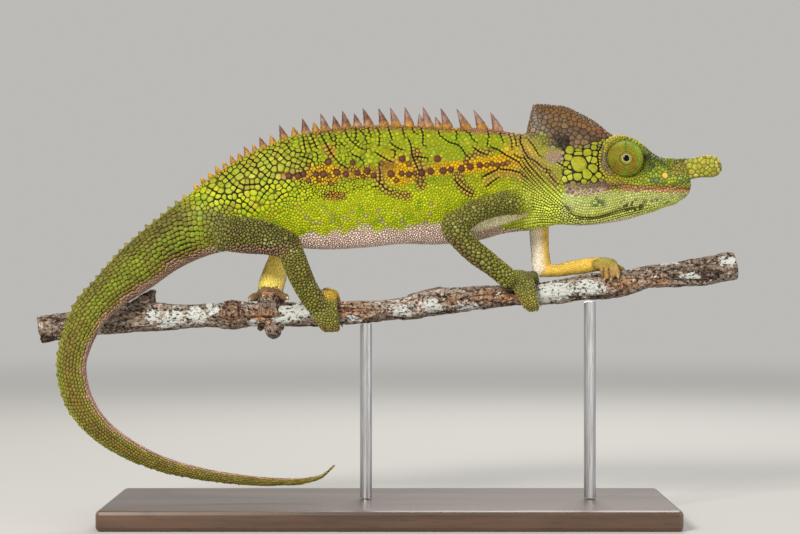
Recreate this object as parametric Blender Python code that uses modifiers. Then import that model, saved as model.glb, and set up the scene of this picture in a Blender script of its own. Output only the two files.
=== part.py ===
"""A rhinoceros chameleon walking along a cut length of branch, on a plain display stand.

The tables are in millimetres, and the meshes are made in metres. +X points the way the
animal walks, +Y to its left side and +Z up. The origin is the centre of the stand's
underside. The animal's right side is the one that faces -Y.
"""

import math
import random

import bmesh
import bpy
import numpy as np
from mathutils import Matrix, Vector

MM = 0.001

# Clearance between two solids that touch in the real animal or stand.
GAP = 0.3

# Spacing of the rings along a loft, and the points round each ring.
BODY_STEP = 3.2
LIMB_STEP = 3.0
TOE_STEP = 2.6
BRANCH_STEP = 6.0
BODY_SIDES = 20
TAIL_SIDES = 16
LIMB_SIDES = 14
TOE_SIDES = 7
BRANCH_SIDES = 12

# Stations from the snout to the tail tip: x, y, z of the middle line, half width, height
# above the line, depth below it, and how pinched the back and the belly are.
BODY = [
    (75.2, 0, 83.2, 0.9, 1.2, 1.0, 1.0, 1.0),
    (74.2, 0, 83.2, 2.0, 6.8, 3.0, 1.0, 1.0),
    (72.5, 0, 83.5, 2.9, 6.5, 4.7, 1.0, 1.0),
    (70.0, 0, 83.6, 3.7, 6.5, 5.6, 0.9, 1.0),
    (67.0, 0, 83.8, 4.4, 6.6, 6.9, 0.85, 1.0),
    (64.5, 0, 83.8, 4.9, 8.5, 7.6, 0.8, 1.0),
    (61.2, 0, 83.8, 5.4, 11.0, 8.6, 0.8, 1.05),
    (57.5, 0, 83.8, 5.9, 12.0, 9.5, 0.85, 1.1),
    (53.8, 0, 83.8, 6.6, 11.9, 10.1, 0.9, 1.1),
    (50.0, 0, 83.8, 7.0, 11.8, 10.5, 0.95, 1.1),
    (46.2, 0, 83.8, 6.9, 11.2, 10.6, 1.0, 1.1),
    (42.5, 0, 83.8, 6.2, 11.0, 10.4, 1.0, 1.0),
    (38.8, 0, 83.8, 5.6, 11.6, 11.0, 1.1, 1.0),
    (35.0, 0, 83.8, 5.3, 12.4, 11.8, 1.15, 1.0),
    (31.2, 0, 83.5, 5.6, 13.4, 11.8, 1.2, 0.95),
    (26.2, 0, 82.8, 6.0, 15.2, 11.8, 1.25, 0.9),
    (20.0, 0, 81.8, 6.3, 16.2, 12.5, 1.25, 0.85),
    (12.5, 0, 81.0, 6.5, 17.2, 12.5, 1.25, 0.85),
    (2.5, 0, 80.8, 6.6, 17.8, 12.2, 1.25, 0.85),
    (-7.5, 0, 80.2, 6.7, 18.2, 12.6, 1.25, 0.85),
    (-16.2, 0, 80.0, 6.7, 17.5, 12.8, 1.25, 0.85),
    (-23.8, 0, 79.8, 6.5, 16.0, 12.2, 1.2, 0.85),
    (-30.5, 0, 79.0, 6.1, 13.7, 11.2, 1.15, 0.9),
    (-36.8, 0, 77.8, 5.7, 11.4, 10.8, 1.1, 0.95),
    (-42.0, 0, 76.2, 5.3, 9.4, 9.9, 1.05, 1.0),
    (-46.7, -0.5, 74.0, 4.8, 7.8, 8.5, 1.0, 1.0),
    (-56.0, -2, 68.5, 4.3, 6.1, 7.0, 1.0, 1.0),
    (-63.2, -4.8, 62.5, 3.8, 5.6, 6.3, 1.0, 1.0),
    (-69.0, -8, 57.0, 3.3, 4.6, 5.1, 1.0, 1.0),
    (-73.2, -10.5, 52.0, 3.0, 4.5, 4.5, 1.0, 1.0),
    (-76.3, -12, 45.5, 2.8, 4.0, 4.0, 1.0, 1.0),
    (-77.7, -12.5, 39.5, 2.65, 3.7, 3.7, 1.0, 1.0),
    (-76.9, -12.5, 33.1, 2.5, 3.6, 3.6, 1.0, 1.0),
    (-74.7, -12, 27.9, 2.3, 3.4, 3.4, 1.0, 1.0),
    (-70.9, -11, 23.2, 2.1, 3.0, 3.0, 1.0, 1.0),
    (-64.8, -9.5, 18.6, 1.85, 2.6, 2.6, 1.0, 1.0),
    (-55.7, -8, 14.3, 1.6, 2.1, 2.1, 1.0, 1.0),
    (-46.4, -7, 11.9, 1.4, 1.7, 1.7, 1.0, 1.0),
    (-36.8, -6, 10.4, 1.25, 1.5, 1.5, 1.0, 1.0),
    (-27.2, -5.5, 9.8, 1.1, 1.2, 1.2, 1.0, 1.0),
    (-21.3, -5.2, 10.0, 0.9, 1.0, 1.0, 1.0, 1.0),
    (-16.6, -5, 11.3, 0.7, 0.7, 0.7, 1.0, 1.0),
    (-13.4, -5, 14.1, 0.4, 0.4, 0.4, 1.0, 1.0),
]

# First and last station of each node along the body, and the points round its rings.
BODY_NODES = {
    "head": (0, 13, BODY_SIDES),
    "neck": (13, 14.15, BODY_SIDES),
    "torso": (14.15, 25, BODY_SIDES),
    "tail_root": (25, 28, TAIL_SIDES),
    "tail_upper": (28, 31, TAIL_SIDES),
    "tail_middle": (31, 34, TAIL_SIDES),
    "tail_lower": (34, 37, 12),
    "tail_end": (37, 42, 10),
}

# The casque, a tall narrow fin over the nape, from its front edge backwards.
CASQUE = [
    (57.5, 0, 92.4, 1.8, 2.6, 1.5, 1.0, 1.0),
    (55.5, 0, 92.6, 2.8, 3.4, 2.0, 1.3, 1.0),
    (53.2, 0, 92.8, 3.5, 5.0, 2.2, 1.5, 1.0),
    (50.0, 0, 93.0, 4.0, 7.2, 2.4, 1.7, 1.0),
    (46.2, 0, 93.2, 4.1, 9.0, 2.5, 1.8, 1.0),
    (43.2, 0, 93.4, 3.9, 10.1, 2.5, 1.8, 1.0),
    (40.5, 0, 93.6, 3.5, 10.3, 2.4, 1.8, 1.0),
    (38.0, 0, 93.8, 2.9, 10.3, 2.2, 1.7, 1.0),
    (35.2, 0, 94.0, 1.9, 10.4, 2.0, 1.5, 1.0),
    (33.7, 0, 94.3, 1.0, 9.9, 1.7, 1.2, 1.0),
]

# The soft blunt horn on the snout.
HORN = [
    (70.5, 0, 87.2, 1.7, 2.4, 2.4, 1.0, 1.0),
    (74.0, 0, 87.4, 1.8, 2.7, 2.7, 1.0, 1.0),
    (77.0, 0, 87.9, 1.7, 2.7, 2.7, 1.0, 1.0),
    (79.4, 0, 88.2, 1.9, 2.9, 2.9, 1.0, 1.0),
    (81.0, 0, 88.1, 1.9, 2.75, 2.75, 1.0, 1.0),
    (82.0, 0, 88.0, 1.5, 2.2, 2.2, 1.0, 1.0),
    (82.5, 0, 88.0, 0.7, 1.3, 1.3, 1.0, 1.0),
]

# The line of the mouth and of the angle of the jaw, seen from the side: x, z.
MOUTH = [(80, 82.3), (70, 82.6), (65, 82.95), (55, 83.0), (48, 82.6), (45, 81.3), (45.4, 77), (47.4, 66)]
JAW_BLOCK_WIDTH = 30.0
LIP_RADIUS = 0.55
NOSTRIL = (70.3, 3.35, 87.2)
NOSTRIL_RADIUS = 0.6

# Eye turrets: centre, radius, how far they swell out and in, and the pit for the eyeball.
EYE = (58.2, 4.4, 90.0)
EYE_RADIUS = 5.25
EYE_OUT = 5.0
EYE_IN = 2.0
EYE_TURN = math.radians(3)
EYEBALL_RADIUS = 1.8
EYEBALL_OUT = 3.2
LID_RADIUS = 1.6
LID_THICKNESS = 0.4

# Limbs from the body outwards: x, y, z, half depth along y, half thickness seen from the side.
LIMBS = {
    "right_upper_arm": [
        (33.8, -3.2, 79.2, 3.0, 3.1),
        (28.4, -6.5, 78.8, 3.1, 3.1),
        (22.7, -9.2, 77.3, 3.0, 3.0),
        (15.6, -11.3, 73.4, 3.2, 3.3),
    ],
    "right_forearm": [
        (15.5, -11.3, 72.3, 3.1, 3.1),
        (18.6, -10.3, 68.7, 3.0, 2.9),
        (22.1, -8.8, 65.7, 2.9, 2.9),
        (25.3, -7.2, 63.4, 2.7, 2.7),
        (29.2, -5.4, 60.3, 2.5, 2.7),
    ],
    "right_thigh": [
        (-42.3, -3.0, 71.5, 3.4, 4.5),
        (-35.8, -6.5, 70.8, 3.8, 4.6),
        (-29.9, -9.5, 70.0, 3.6, 4.2),
        (-24.9, -11.2, 68.4, 3.3, 3.5),
    ],
    "right_shin": [
        (-24.4, -11.2, 67.2, 3.2, 3.2),
        (-22.6, -9.6, 62.3, 3.1, 3.2),
        (-20.6, -7.4, 57.8, 2.8, 3.0),
        (-18.4, -5.4, 54.1, 2.5, 3.0),
    ],
    "left_upper_arm": [
        (37.2, 3.5, 78.6, 2.6, 2.8),
        (37.6, 6.0, 73.6, 2.6, 2.7),
        (38.0, 7.6, 67.3, 2.5, 2.5),
        (38.5, 8.0, 62.7, 2.5, 2.6),
    ],
    "left_forearm": [
        (39.3, 8.0, 62.0, 2.2, 1.8),
        (43.0, 6.8, 62.2, 2.2, 1.8),
        (45.4, 5.8, 62.7, 2.2, 2.0),
        (47.9, 4.6, 63.1, 2.2, 2.1),
        (52.5, 2.4, 63.8, 2.0, 2.0),
    ],
    "left_thigh": [
        (-41.3, 3.2, 73.3, 3.4, 4.3),
        (-35.9, 6.5, 72.4, 3.6, 4.4),
        (-30.6, 9.5, 71.1, 3.3, 3.8),
        (-27.3, 10.8, 69.7, 3.0, 3.0),
    ],
    "left_shin": [
        (-27.3, 10.6, 68.6, 2.8, 2.7),
        (-28.4, 8.2, 64.3, 2.8, 3.0),
        (-29.3, 5.4, 60.7, 2.6, 3.4),
        (-30.1, 3.6, 57.7, 2.5, 3.5),
    ],
}

# Feet: centre of the palm, its half sizes, the limb above it, and the toes. A toe runs round
# the branch: x at its root and tip, the angle from the top of the branch at root and tip
# (positive towards -Y), and its radius at root and tip.
FEET = {
    "right_front_foot": {
        "palm": (32.0, -3.4, 60.0),
        "size": (3.4, 2.9, 2.5),
        "limb": "right_forearm",
        "toes": [
            (34.0, 36.4, 35, 145, 1.7, 1.0),
            (31.4, 35.0, 50, 148, 1.8, 1.0),
            (33.0, 33.6, -15, -120, 1.4, 0.95),
            (34.4, 35.6, -15, -125, 1.4, 0.95),
            (35.8, 37.6, -12, -115, 1.4, 0.95),
        ],
    },
    "left_front_foot": {
        "palm": (53.8, 0.6, 63.6),
        "size": (3.4, 2.6, 2.0),
        "limb": "left_forearm",
        "toes": [
            (53.0, 53.2, 0, 62, 1.0, 0.85),
            (54.6, 54.8, 0, 64, 1.0, 0.85),
            (56.0, 56.6, 0, 58, 1.0, 0.85),
            (55.4, 58.6, -12, -42, 1.2, 0.85),
            (54.0, 55.4, -20, -115, 1.3, 0.9),
        ],
    },
    "right_hind_foot": {
        "palm": (-17.0, -3.6, 54.6),
        "size": (3.3, 2.9, 2.9),
        "limb": "right_shin",
        "toes": [
            (-15.0, -13.3, 35, 150, 1.7, 1.05),
            (-16.9, -14.6, 45, 152, 1.7, 1.05),
            (-18.9, -16.0, 55, 150, 1.7, 1.05),
            (-15.8, -13.6, -5, -112, 1.7, 1.0),
            (-14.4, -12.4, -10, -120, 1.5, 1.0),
        ],
    },
    "left_hind_foot": {
        "palm": (-30.2, 3.0, 56.6),
        "size": (3.3, 2.6, 2.4),
        "limb": "left_shin",
        "toes": [
            (-31.8, -32.6, -40, -140, 1.5, 1.0),
            (-29.8, -30.0, -40, -145, 1.5, 1.0),
            (-27.8, -27.4, -40, -140, 1.5, 1.0),
            (-32.6, -34.6, -20, 20, 1.4, 1.0),
            (-27.8, -26.0, -20, 10, 1.4, 1.0),
        ],
    },
}
CLAW_LENGTH = 1.5

# The crest of spines on the back, from the shoulders to the hips: where each one stands on
# the ridge (x) and how far it rises. Large and small ones take turns. Behind the hips it
# runs on down the tail as low cones, one every few millimetres, which dwindle.
CREST = [
    (27.0, 4.7), (23.0, 4.8), (19.0, 5.1), (14.4, 5.0), (12.2, 2.6), (9.6, 4.9), (7.9, 3.0),
    (4.8, 4.6), (1.5, 4.4), (-1.5, 4.3), (-5.3, 4.4), (-8.1, 3.1), (-10.9, 4.0), (-13.4, 3.0),
    (-16.2, 3.9), (-18.5, 2.3), (-21.0, 3.6), (-23.7, 2.3), (-26.5, 3.4), (-29.2, 2.1),
    (-31.6, 2.7), (-33.6, 1.9), (-35.5, 2.4), (-37.3, 1.7), (-39.1, 2.0), (-41.0, 1.6),
    (-42.8, 1.8), (-44.6, 1.5), (-46.4, 1.6), (-48.2, 1.4),
]
SPINE_LEAN = 0.16
SPINE_ROOT = 1.3
SPINE_FOOT = 0.62
SPINE_FOOT_PART = 0.13
SPINE_FLATNESS = 0.72
TAIL_SPINE_STEP = 2.1
TAIL_SPINE_HEIGHT = (1.25, 0.7)

# The branch: x, z and radius along its middle line, then the stubs of its twigs, each with
# foot point, tip point, and radius at foot and tip.
BRANCH = [
    (-87.5, 47.2, 3.6),
    (-81.0, 48.2, 3.6),
    (-74.5, 49.2, 3.5),
    (-67.5, 50.0, 3.8),
    (-61.2, 50.6, 3.9),
    (-50.0, 50.6, 3.2),
    (-43.8, 50.9, 3.2),
    (-39.5, 50.9, 3.8),
    (-35.0, 51.0, 3.2),
    (-23.8, 51.1, 3.2),
    (-10.0, 51.6, 3.1),
    (3.8, 52.8, 3.0),
    (9.5, 54.0, 3.7),
    (18.0, 54.8, 3.4),
    (25.0, 55.5, 3.1),
    (40.0, 56.6, 3.1),
    (48.0, 57.7, 3.4),
    (57.5, 58.6, 3.6),
    (65.0, 60.4, 2.9),
    (72.5, 61.2, 3.4),
    (79.0, 62.0, 3.8),
    (86.5, 63.3, 3.7),
]
TWIG_STUBS = [
    ((-30.4, -1.0, 51.0), (-30.0, -1.4, 56.9), 3.5, 2.7),
    ((-29.4, 0.0, 51.0), (-28.8, -0.4, 45.2), 2.9, 1.9),
    ((-62.8, 0.4, 52.0), (-58.4, 0.9, 57.6), 1.5, 0.8),
]

STAND_LENGTH = 140.0
STAND_DEPTH = 56.0
STAND_THICKNESS = 5.0
STAND_EDGE = 1.0
ROD_RADIUS = 1.5
ROD_AT = {"stand_rod_rear": -6.0, "stand_rod_front": 50.0}

SEED = 7

# Base colour, roughness and metallic value of each kind of material.
COLOURS = {
    "body": ((0.30, 0.48, 0.06), 0.55, 0.0),
    "tail": ((0.24, 0.34, 0.07), 0.55, 0.0),
    "near_leg": ((0.19, 0.30, 0.07), 0.6, 0.0),
    "far_leg": ((0.80, 0.64, 0.14), 0.6, 0.0),
    "casque": ((0.33, 0.22, 0.13), 0.6, 0.0),
    "horn": ((0.45, 0.58, 0.10), 0.5, 0.0),
    "eye": ((0.26, 0.34, 0.07), 0.5, 0.0),
    "eyeball": ((0.01, 0.01, 0.01), 0.08, 0.0),
    "bark": ((0.38, 0.33, 0.28), 0.9, 0.0),
    "wood": ((0.10, 0.07, 0.05), 0.45, 0.0),
    "steel": ((0.55, 0.55, 0.56), 0.3, 1.0),
}


def distances(table):
    """Distance of each station along its path."""
    points = np.array([row[:3] for row in table], dtype=float)
    steps = np.linalg.norm(np.diff(points, axis=0), axis=1)
    return np.concatenate([[0.0], np.cumsum(steps)])


def smooth_rows(table, at):
    """Rows of a table read at distances along its path, on a smooth curve through its stations."""
    rows = np.array(table, dtype=float)
    where = distances(table)
    slopes = np.gradient(rows, where, axis=0)
    at = np.clip(np.asarray(at, dtype=float), where[0], where[-1])
    cell = np.clip(np.searchsorted(where, at, side="right") - 1, 0, len(where) - 2)
    span = where[cell + 1] - where[cell]
    t = ((at - where[cell]) / span)[:, None]
    span = span[:, None]
    return (
        (2 * t**3 - 3 * t**2 + 1) * rows[cell]
        + (t**3 - 2 * t**2 + t) * span * slopes[cell]
        + (3 * t**2 - 2 * t**3) * rows[cell + 1]
        + (t**3 - t**2) * span * slopes[cell + 1]
    )


def distance_of(table, station):
    """Distance along the path of a station number, which may lie between two stations."""
    where = distances(table)
    return float(np.interp(station, range(len(where)), where))


def frames_along(table, at):
    """Middle point, side and up directions of the cross-sections at distances along a path."""
    ahead = smooth_rows(table, np.asarray(at) + 0.2)[:, :3]
    behind = smooth_rows(table, np.asarray(at) - 0.2)[:, :3]
    middle = smooth_rows(table, at)[:, :3]
    frames = []
    for point, way in zip(middle, ahead - behind):
        forward = Vector(way).normalized()
        side = Vector((0, 1, 0)) - forward * forward.y
        side.normalize()
        frames.append((Vector(point), forward, side, side.cross(forward)))
    return frames


def section(frame, sizes, sides, scale=1.0, shift=0.0):
    """Points of one cross-section: an ellipse with its own power above and below."""
    middle, forward, side, up = frame
    width, top, bottom, top_power, bottom_power = sizes
    points = []
    for k in range(sides):
        angle = 2 * math.pi * k / sides
        c, s = math.cos(angle), math.sin(angle)
        power = top_power if s > 0 else bottom_power
        across = math.copysign(abs(c) ** power, c) * width * scale
        rise = (top if s > 0 else bottom) * s * scale
        points.append(middle + side * across + up * rise + forward * shift)
    return points


def new_object(name, mesh):
    obj = bpy.data.objects.new(name, mesh)
    MODEL.objects.link(obj)
    return obj


def object_from_bmesh(name, shape):
    bmesh.ops.recalc_face_normals(shape, faces=shape.faces)
    if shape.calc_volume(signed=True) < 0:
        bmesh.ops.reverse_faces(shape, faces=shape.faces)
    mesh = bpy.data.meshes.new(name)
    shape.to_mesh(mesh)
    shape.free()
    return new_object(name, mesh)


def loft(name, table, sides, start=None, end=None, step=LIMB_STEP, grow=0.0, domes=(False, False)):
    """A closed body through the cross-sections of a table, with flat or domed ends.

    A row holds x, y, z, half width, height, depth and the two powers. grow makes the body
    larger all round, for the shape that cuts a neighbour.
    """
    first = 0.0 if start is None else start
    last = distances(table)[-1] if end is None else end
    count = max(3, int(math.ceil((last - first) / step)) + 1)
    at = np.linspace(first, last, count)
    rows = smooth_rows(table, at)
    frames = frames_along(table, at)
    sizes = [(*(row[3:6] + grow), *row[6:8]) for row in rows]
    rings = []
    dome_angles = (30, 60) if sides > 8 else (45,)
    if domes[0]:
        for angle in reversed(dome_angles):
            reach = min(sizes[0][:3]) * math.sin(math.radians(angle))
            rings.append(section(frames[0], sizes[0], sides, math.cos(math.radians(angle)), -reach))
    for number, (frame, size) in enumerate(zip(frames, sizes)):
        shift = 0.0
        if number == 0 and not domes[0]:
            shift = -grow
        if number == count - 1 and not domes[1]:
            shift = grow
        rings.append(section(frame, size, sides, 1.0, shift))
    if domes[1]:
        for angle in dome_angles:
            reach = min(sizes[-1][:3]) * math.sin(math.radians(angle))
            rings.append(section(frames[-1], sizes[-1], sides, math.cos(math.radians(angle)), reach))
    shape = bmesh.new()
    loops = [[shape.verts.new(point * MM) for point in ring] for ring in rings]
    for here, there in zip(loops, loops[1:]):
        for k in range(sides):
            shape.faces.new((here[k], here[(k + 1) % sides], there[(k + 1) % sides], there[k]))
    for loop, frame, size, domed, sign in (
        (loops[0], frames[0], sizes[0], domes[0], -1),
        (loops[-1], frames[-1], sizes[-1], domes[1], 1),
    ):
        if domed:
            tip = shape.verts.new((frame[0] + frame[1] * (sign * min(size[:3]))) * MM)
            for k in range(sides):
                shape.faces.new((loop[k], loop[(k + 1) % sides], tip))
        else:
            shape.faces.new(loop)
    return object_from_bmesh(name, shape)


def ellipsoid(name, centre, radii, segments=16, rings=10):
    """A sphere primitive scaled along the three axes."""
    shape = bmesh.new()
    bmesh.ops.create_uvsphere(shape, u_segments=segments, v_segments=rings, radius=1.0)
    for vert in shape.verts:
        vert.co = Vector([c + r * v for c, r, v in zip(centre, radii, vert.co)]) * MM
    return object_from_bmesh(name, shape)


def rod_between(name, start, end, radius_start, radius_end, sides=10):
    """A cone or cylinder primitive from one point to another."""
    start, end = Vector(start), Vector(end)
    way = end - start
    shape = bmesh.new()
    bmesh.ops.create_cone(
        shape,
        cap_ends=True,
        segments=sides,
        radius1=radius_start * MM,
        radius2=radius_end * MM,
        depth=way.length * MM,
    )
    turn = way.to_track_quat("Z", "Y").to_matrix()
    for vert in shape.verts:
        vert.co = turn @ vert.co + (start + end) / 2 * MM
    return object_from_bmesh(name, shape)


def largest_surface(obj):
    """Keeps the largest of the separate closed surfaces of an object."""
    shape = bmesh.new()
    shape.from_mesh(obj.data)
    bmesh.ops.remove_doubles(shape, verts=shape.verts, dist=1e-7)
    bmesh.ops.triangulate(shape, faces=shape.faces)
    left = set(shape.faces)
    islands = []
    while left:
        seed = next(iter(left))
        left.discard(seed)
        island, stack = [seed], [seed]
        while stack:
            for edge in stack.pop().edges:
                for face in edge.link_faces:
                    if face in left:
                        left.discard(face)
                        island.append(face)
                        stack.append(face)
        islands.append(island)

    def volume(island):
        total = 0.0
        for face in island:
            a, b, c = (vert.co for vert in face.verts)
            total += a.dot(b.cross(c)) / 6
        return total

    best = max(islands, key=volume)
    drop = [face for island in islands if island is not best for face in island]
    bmesh.ops.delete(shape, geom=drop, context="FACES")
    bmesh.ops.delete(shape, geom=[v for v in shape.verts if not v.link_faces], context="VERTS")
    shape.to_mesh(obj.data)
    shape.free()


def combine(obj, operation, others, solver="EXACT"):
    """One Boolean between an object and a collection of closed meshes, applied, then removed."""
    pieces = bpy.data.collections.new("cutters")
    bpy.context.scene.collection.children.link(pieces)
    for other in others:
        for owner in list(other.users_collection):
            owner.objects.unlink(other)
        pieces.objects.link(other)
        other.hide_render = True
        other.display_type = "WIRE"
    modifier = obj.modifiers.new(operation.title(), "BOOLEAN")
    modifier.operation = operation
    modifier.operand_type = "COLLECTION"
    modifier.collection = pieces
    modifier.solver = solver
    graph = bpy.context.evaluated_depsgraph_get()
    mesh = bpy.data.meshes.new_from_object(obj.evaluated_get(graph))
    obj.modifiers.clear()
    obj.data = mesh
    mesh.name = obj.name
    for other in others:
        bpy.data.objects.remove(other)
    bpy.data.collections.remove(pieces)
    largest_surface(obj)


def finish(obj, colour):
    """Gives an object its own material and smooth shading with sharp edges kept."""
    base, roughness, metallic = COLOURS[colour]
    material = bpy.data.materials.new(obj.name)
    material.use_nodes = True
    shader = material.node_tree.nodes["Principled BSDF"]
    shader.inputs["Base Color"].default_value = (*base, 1.0)
    shader.inputs["Roughness"].default_value = roughness
    shader.inputs["Metallic"].default_value = metallic
    obj.data.materials.clear()
    obj.data.materials.append(material)
    obj.data.shade_smooth()
    obj.data.set_sharp_from_angle(angle=math.radians(40))


def body_piece(name, start, end, sides, grow=0.0, trim=0.5):
    """The length of the body between two stations, half a gap short at each end."""
    first = distance_of(BODY, start)
    last = distance_of(BODY, end)
    if start > 0:
        first += GAP * trim
    if end < len(BODY) - 1:
        last -= GAP * trim
    rounded = (False, end >= len(BODY) - 1)
    return loft(name, BODY, sides, first, last, BODY_STEP, grow, rounded)


def whole_body(name, start=0, end=27):
    """The body grown by the gap, to cut what grows out of it."""
    return body_piece(name, start, end, BODY_SIDES, GAP)


def offset_line(line, amount):
    """A line of x, z points moved sideways, upwards where it runs towards -X."""
    points = [Vector(point) for point in line]
    moved = []
    for k, point in enumerate(points):
        before = points[max(k - 1, 0)]
        after = points[min(k + 1, len(points) - 1)]
        way = (after - before).normalized()
        moved.append(point + Vector((way.y, -way.x)) * amount)
    return moved


def jaw_block(name, amount):
    """The space of the lower jaw: what lies below the mouth and ahead of the jaw's angle."""
    outline = offset_line(MOUTH, amount) + [Vector((80, 66))]
    curve = bpy.data.curves.new(name, "CURVE")
    curve.dimensions = "2D"
    curve.fill_mode = "BOTH"
    curve.extrude = JAW_BLOCK_WIDTH / 2 * MM
    line = curve.splines.new("POLY")
    line.points.add(len(outline) - 1)
    for point, place in zip(line.points, outline):
        point.co = (place.x * MM, place.y * MM, 0, 1)
    line.use_cyclic_u = True
    flat = new_object(name, curve)
    graph = bpy.context.evaluated_depsgraph_get()
    shape = bmesh.new()
    shape.from_mesh(bpy.data.meshes.new_from_object(flat.evaluated_get(graph)))
    bpy.data.objects.remove(flat)
    bmesh.ops.remove_doubles(shape, verts=shape.verts, dist=1e-7)
    bmesh.ops.rotate(shape, verts=shape.verts, matrix=Matrix.Rotation(math.radians(90), 3, "X"))
    return object_from_bmesh(name, shape)


def body_half_width(x, z):
    """Half the width of the body at one place of its side view, ahead of the tail."""
    where = distances(BODY)
    at = float(np.interp(-x, [-row[0] for row in BODY[:25]], where[:25]))
    row = smooth_rows(BODY, [at])[0]
    rise = (z - row[2]) / (row[4] if z > row[2] else row[5])
    power = row[6] if z > row[2] else row[7]
    return row[3] * max(0.0, 1 - rise * rise) ** (power / 2)


def lip(name, rise, side):
    """A lip: a thin roll along the mouth, on the skin."""
    line = []
    for point in offset_line(MOUTH, rise)[1:6]:
        if point.x > 73.6:
            continue
        width = body_half_width(point.x, point.y) - LIP_RADIUS * 0.45
        line.append((point.x, side * width, point.y, LIP_RADIUS, LIP_RADIUS, LIP_RADIUS, 1, 1))
    return loft(name, line, 8, step=3.0, domes=(True, True))


def make_head():
    head = body_piece("head", *BODY_NODES["head"])
    jaw = body_piece("jaw", *BODY_NODES["head"])
    combine(head, "DIFFERENCE", [jaw_block("jaw_space", GAP / 2)])
    combine(jaw, "INTERSECT", [jaw_block("jaw_space", -GAP / 2)])
    combine(head, "UNION", [lip("upper_lip", GAP / 2 + LIP_RADIUS, side) for side in (-1, 1)])
    combine(jaw, "UNION", [lip("lower_lip", -GAP / 2 - LIP_RADIUS, side) for side in (-1, 1)])
    for side in (-1, 1):
        combine(head, "DIFFERENCE", [eye_turret("eye_space", side, GAP)])
        x, y, z = NOSTRIL
        combine(head, "DIFFERENCE", [ellipsoid("nostril", (x, side * y, z), [NOSTRIL_RADIUS] * 3, 10, 6)])
    finish(head, "body")
    finish(jaw, "body")


def eye_turret(name, side, grow=0.0):
    """The cone of lids round one eye, without its opening: a sphere, flatter on the inside."""
    x, y, z = EYE
    shape = bmesh.new()
    bmesh.ops.create_uvsphere(shape, u_segments=18, v_segments=10, radius=1.0)
    radius = EYE_RADIUS + grow
    for vert in shape.verts:
        across, along, out = vert.co
        depth = (EYE_OUT if out > 0 else EYE_IN) + grow
        vert.co = eye_place(Vector((across * radius, along * radius, out * depth)), side)
    return object_from_bmesh(name, shape)


def eye_place(point, side):
    """A point of the eye's own frame, whose z points out of the head, in the model's frame."""
    x, y, z = EYE
    turned = Vector(
        (
            point.x * math.cos(EYE_TURN) + point.z * math.sin(EYE_TURN),
            side * (point.z * math.cos(EYE_TURN) - point.x * math.sin(EYE_TURN)),
            point.y,
        )
    )
    return (turned + Vector((x, side * y, z))) * MM


def make_eyes():
    for side, word in ((-1, "right"), (1, "left")):
        turret = eye_turret(f"{word}_eye_turret", side)
        bpy.ops.mesh.primitive_torus_add(
            major_segments=14, minor_segments=5, major_radius=LID_RADIUS, minor_radius=LID_THICKNESS
        )
        lids = bpy.context.object
        for vert in lids.data.vertices:
            vert.co = eye_place(vert.co + Vector((0, 0, EYE_OUT - LID_THICKNESS)), side)
        if side < 0:
            lids.data.flip_normals()
        combine(turret, "UNION", [lids])
        centre = eye_place(Vector((0, 0, EYEBALL_OUT)), side) / MM
        combine(turret, "DIFFERENCE", [ellipsoid("pit", centre, [EYEBALL_RADIUS + GAP] * 3, 14, 8)])
        finish(turret, "eye")
        finish(ellipsoid(f"{word}_eyeball", centre, [EYEBALL_RADIUS] * 3, 12, 8), "eyeball")


def make_casque_and_horn():
    casque = loft("casque", CASQUE, 16, step=2.4)
    combine(casque, "DIFFERENCE", [whole_body("head_space")])
    finish(casque, "casque")
    horn = loft("horn", HORN, 16, step=1.6, domes=(False, True))
    for ahead in (0, GAP):
        snout = body_piece("head_space", *BODY_NODES["head"], GAP)
        snout.data.transform(Matrix.Translation((ahead * MM, 0, 0)))
        combine(horn, "DIFFERENCE", [snout])
    finish(horn, "horn")


def limb(name, grow=0.0):
    """One length of a leg, with a dome at its far end."""
    table = [(*row[:3], row[3], row[4], row[4], 1, 1) for row in LIMBS[name]]
    lower = name.endswith(("forearm", "shin"))
    return loft(name, table, LIMB_SIDES, grow=grow, domes=(lower, True))


def branch_at(x):
    """Height and radius of the branch at one x."""
    xs, zs, radii = zip(*BRANCH)
    return float(np.interp(x, xs, zs)), float(np.interp(x, xs, radii))


def branch_body(name, grow=0.0):
    table = [(x, 0, z, r, r, r, 1, 1) for x, z, r in BRANCH]
    branch = loft(name, table, BRANCH_SIDES, step=BRANCH_STEP, grow=grow)
    stubs = [
        rod_between("stub", start, Vector(end) + (Vector(end) - Vector(start)).normalized() * grow,
                    foot + grow, tip + grow)
        for start, end, foot, tip in TWIG_STUBS
    ]
    combine(branch, "UNION", stubs)
    return branch


def toe_pieces(toe):
    """A toe that curls round the branch, and its claw."""
    x_root, x_tip, angle_root, angle_tip, r_root, r_tip = toe
    table = []
    for k in range(6):
        t = k / 5
        x = x_root + (x_tip - x_root) * t
        radius = r_root + (r_tip - r_root) * t
        angle = math.radians(angle_root + (angle_tip - angle_root) * t)
        z, branch_radius = branch_at(x)
        reach = branch_radius + GAP + radius * 0.9
        place = (x, -math.sin(angle) * reach, z + math.cos(angle) * reach)
        table.append((*place, radius, radius, radius, 1, 1))
    tip, before = Vector(table[-1][:3]), Vector(table[-2][:3])
    way = (tip - before).normalized()
    inward = Vector((0, -tip.y, branch_at(tip.x)[0] - tip.z)).normalized()
    claw_way = (way + inward * 0.25).normalized()
    root = tip + way * (r_tip * 0.5)
    end = tip + claw_way * (r_tip + CLAW_LENGTH)
    claw = rod_between("claw", root, end, r_tip * 0.55, 0.08, 5)
    return [loft("toe", table, TOE_SIDES, step=TOE_STEP, domes=(True, True)), claw]


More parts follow.
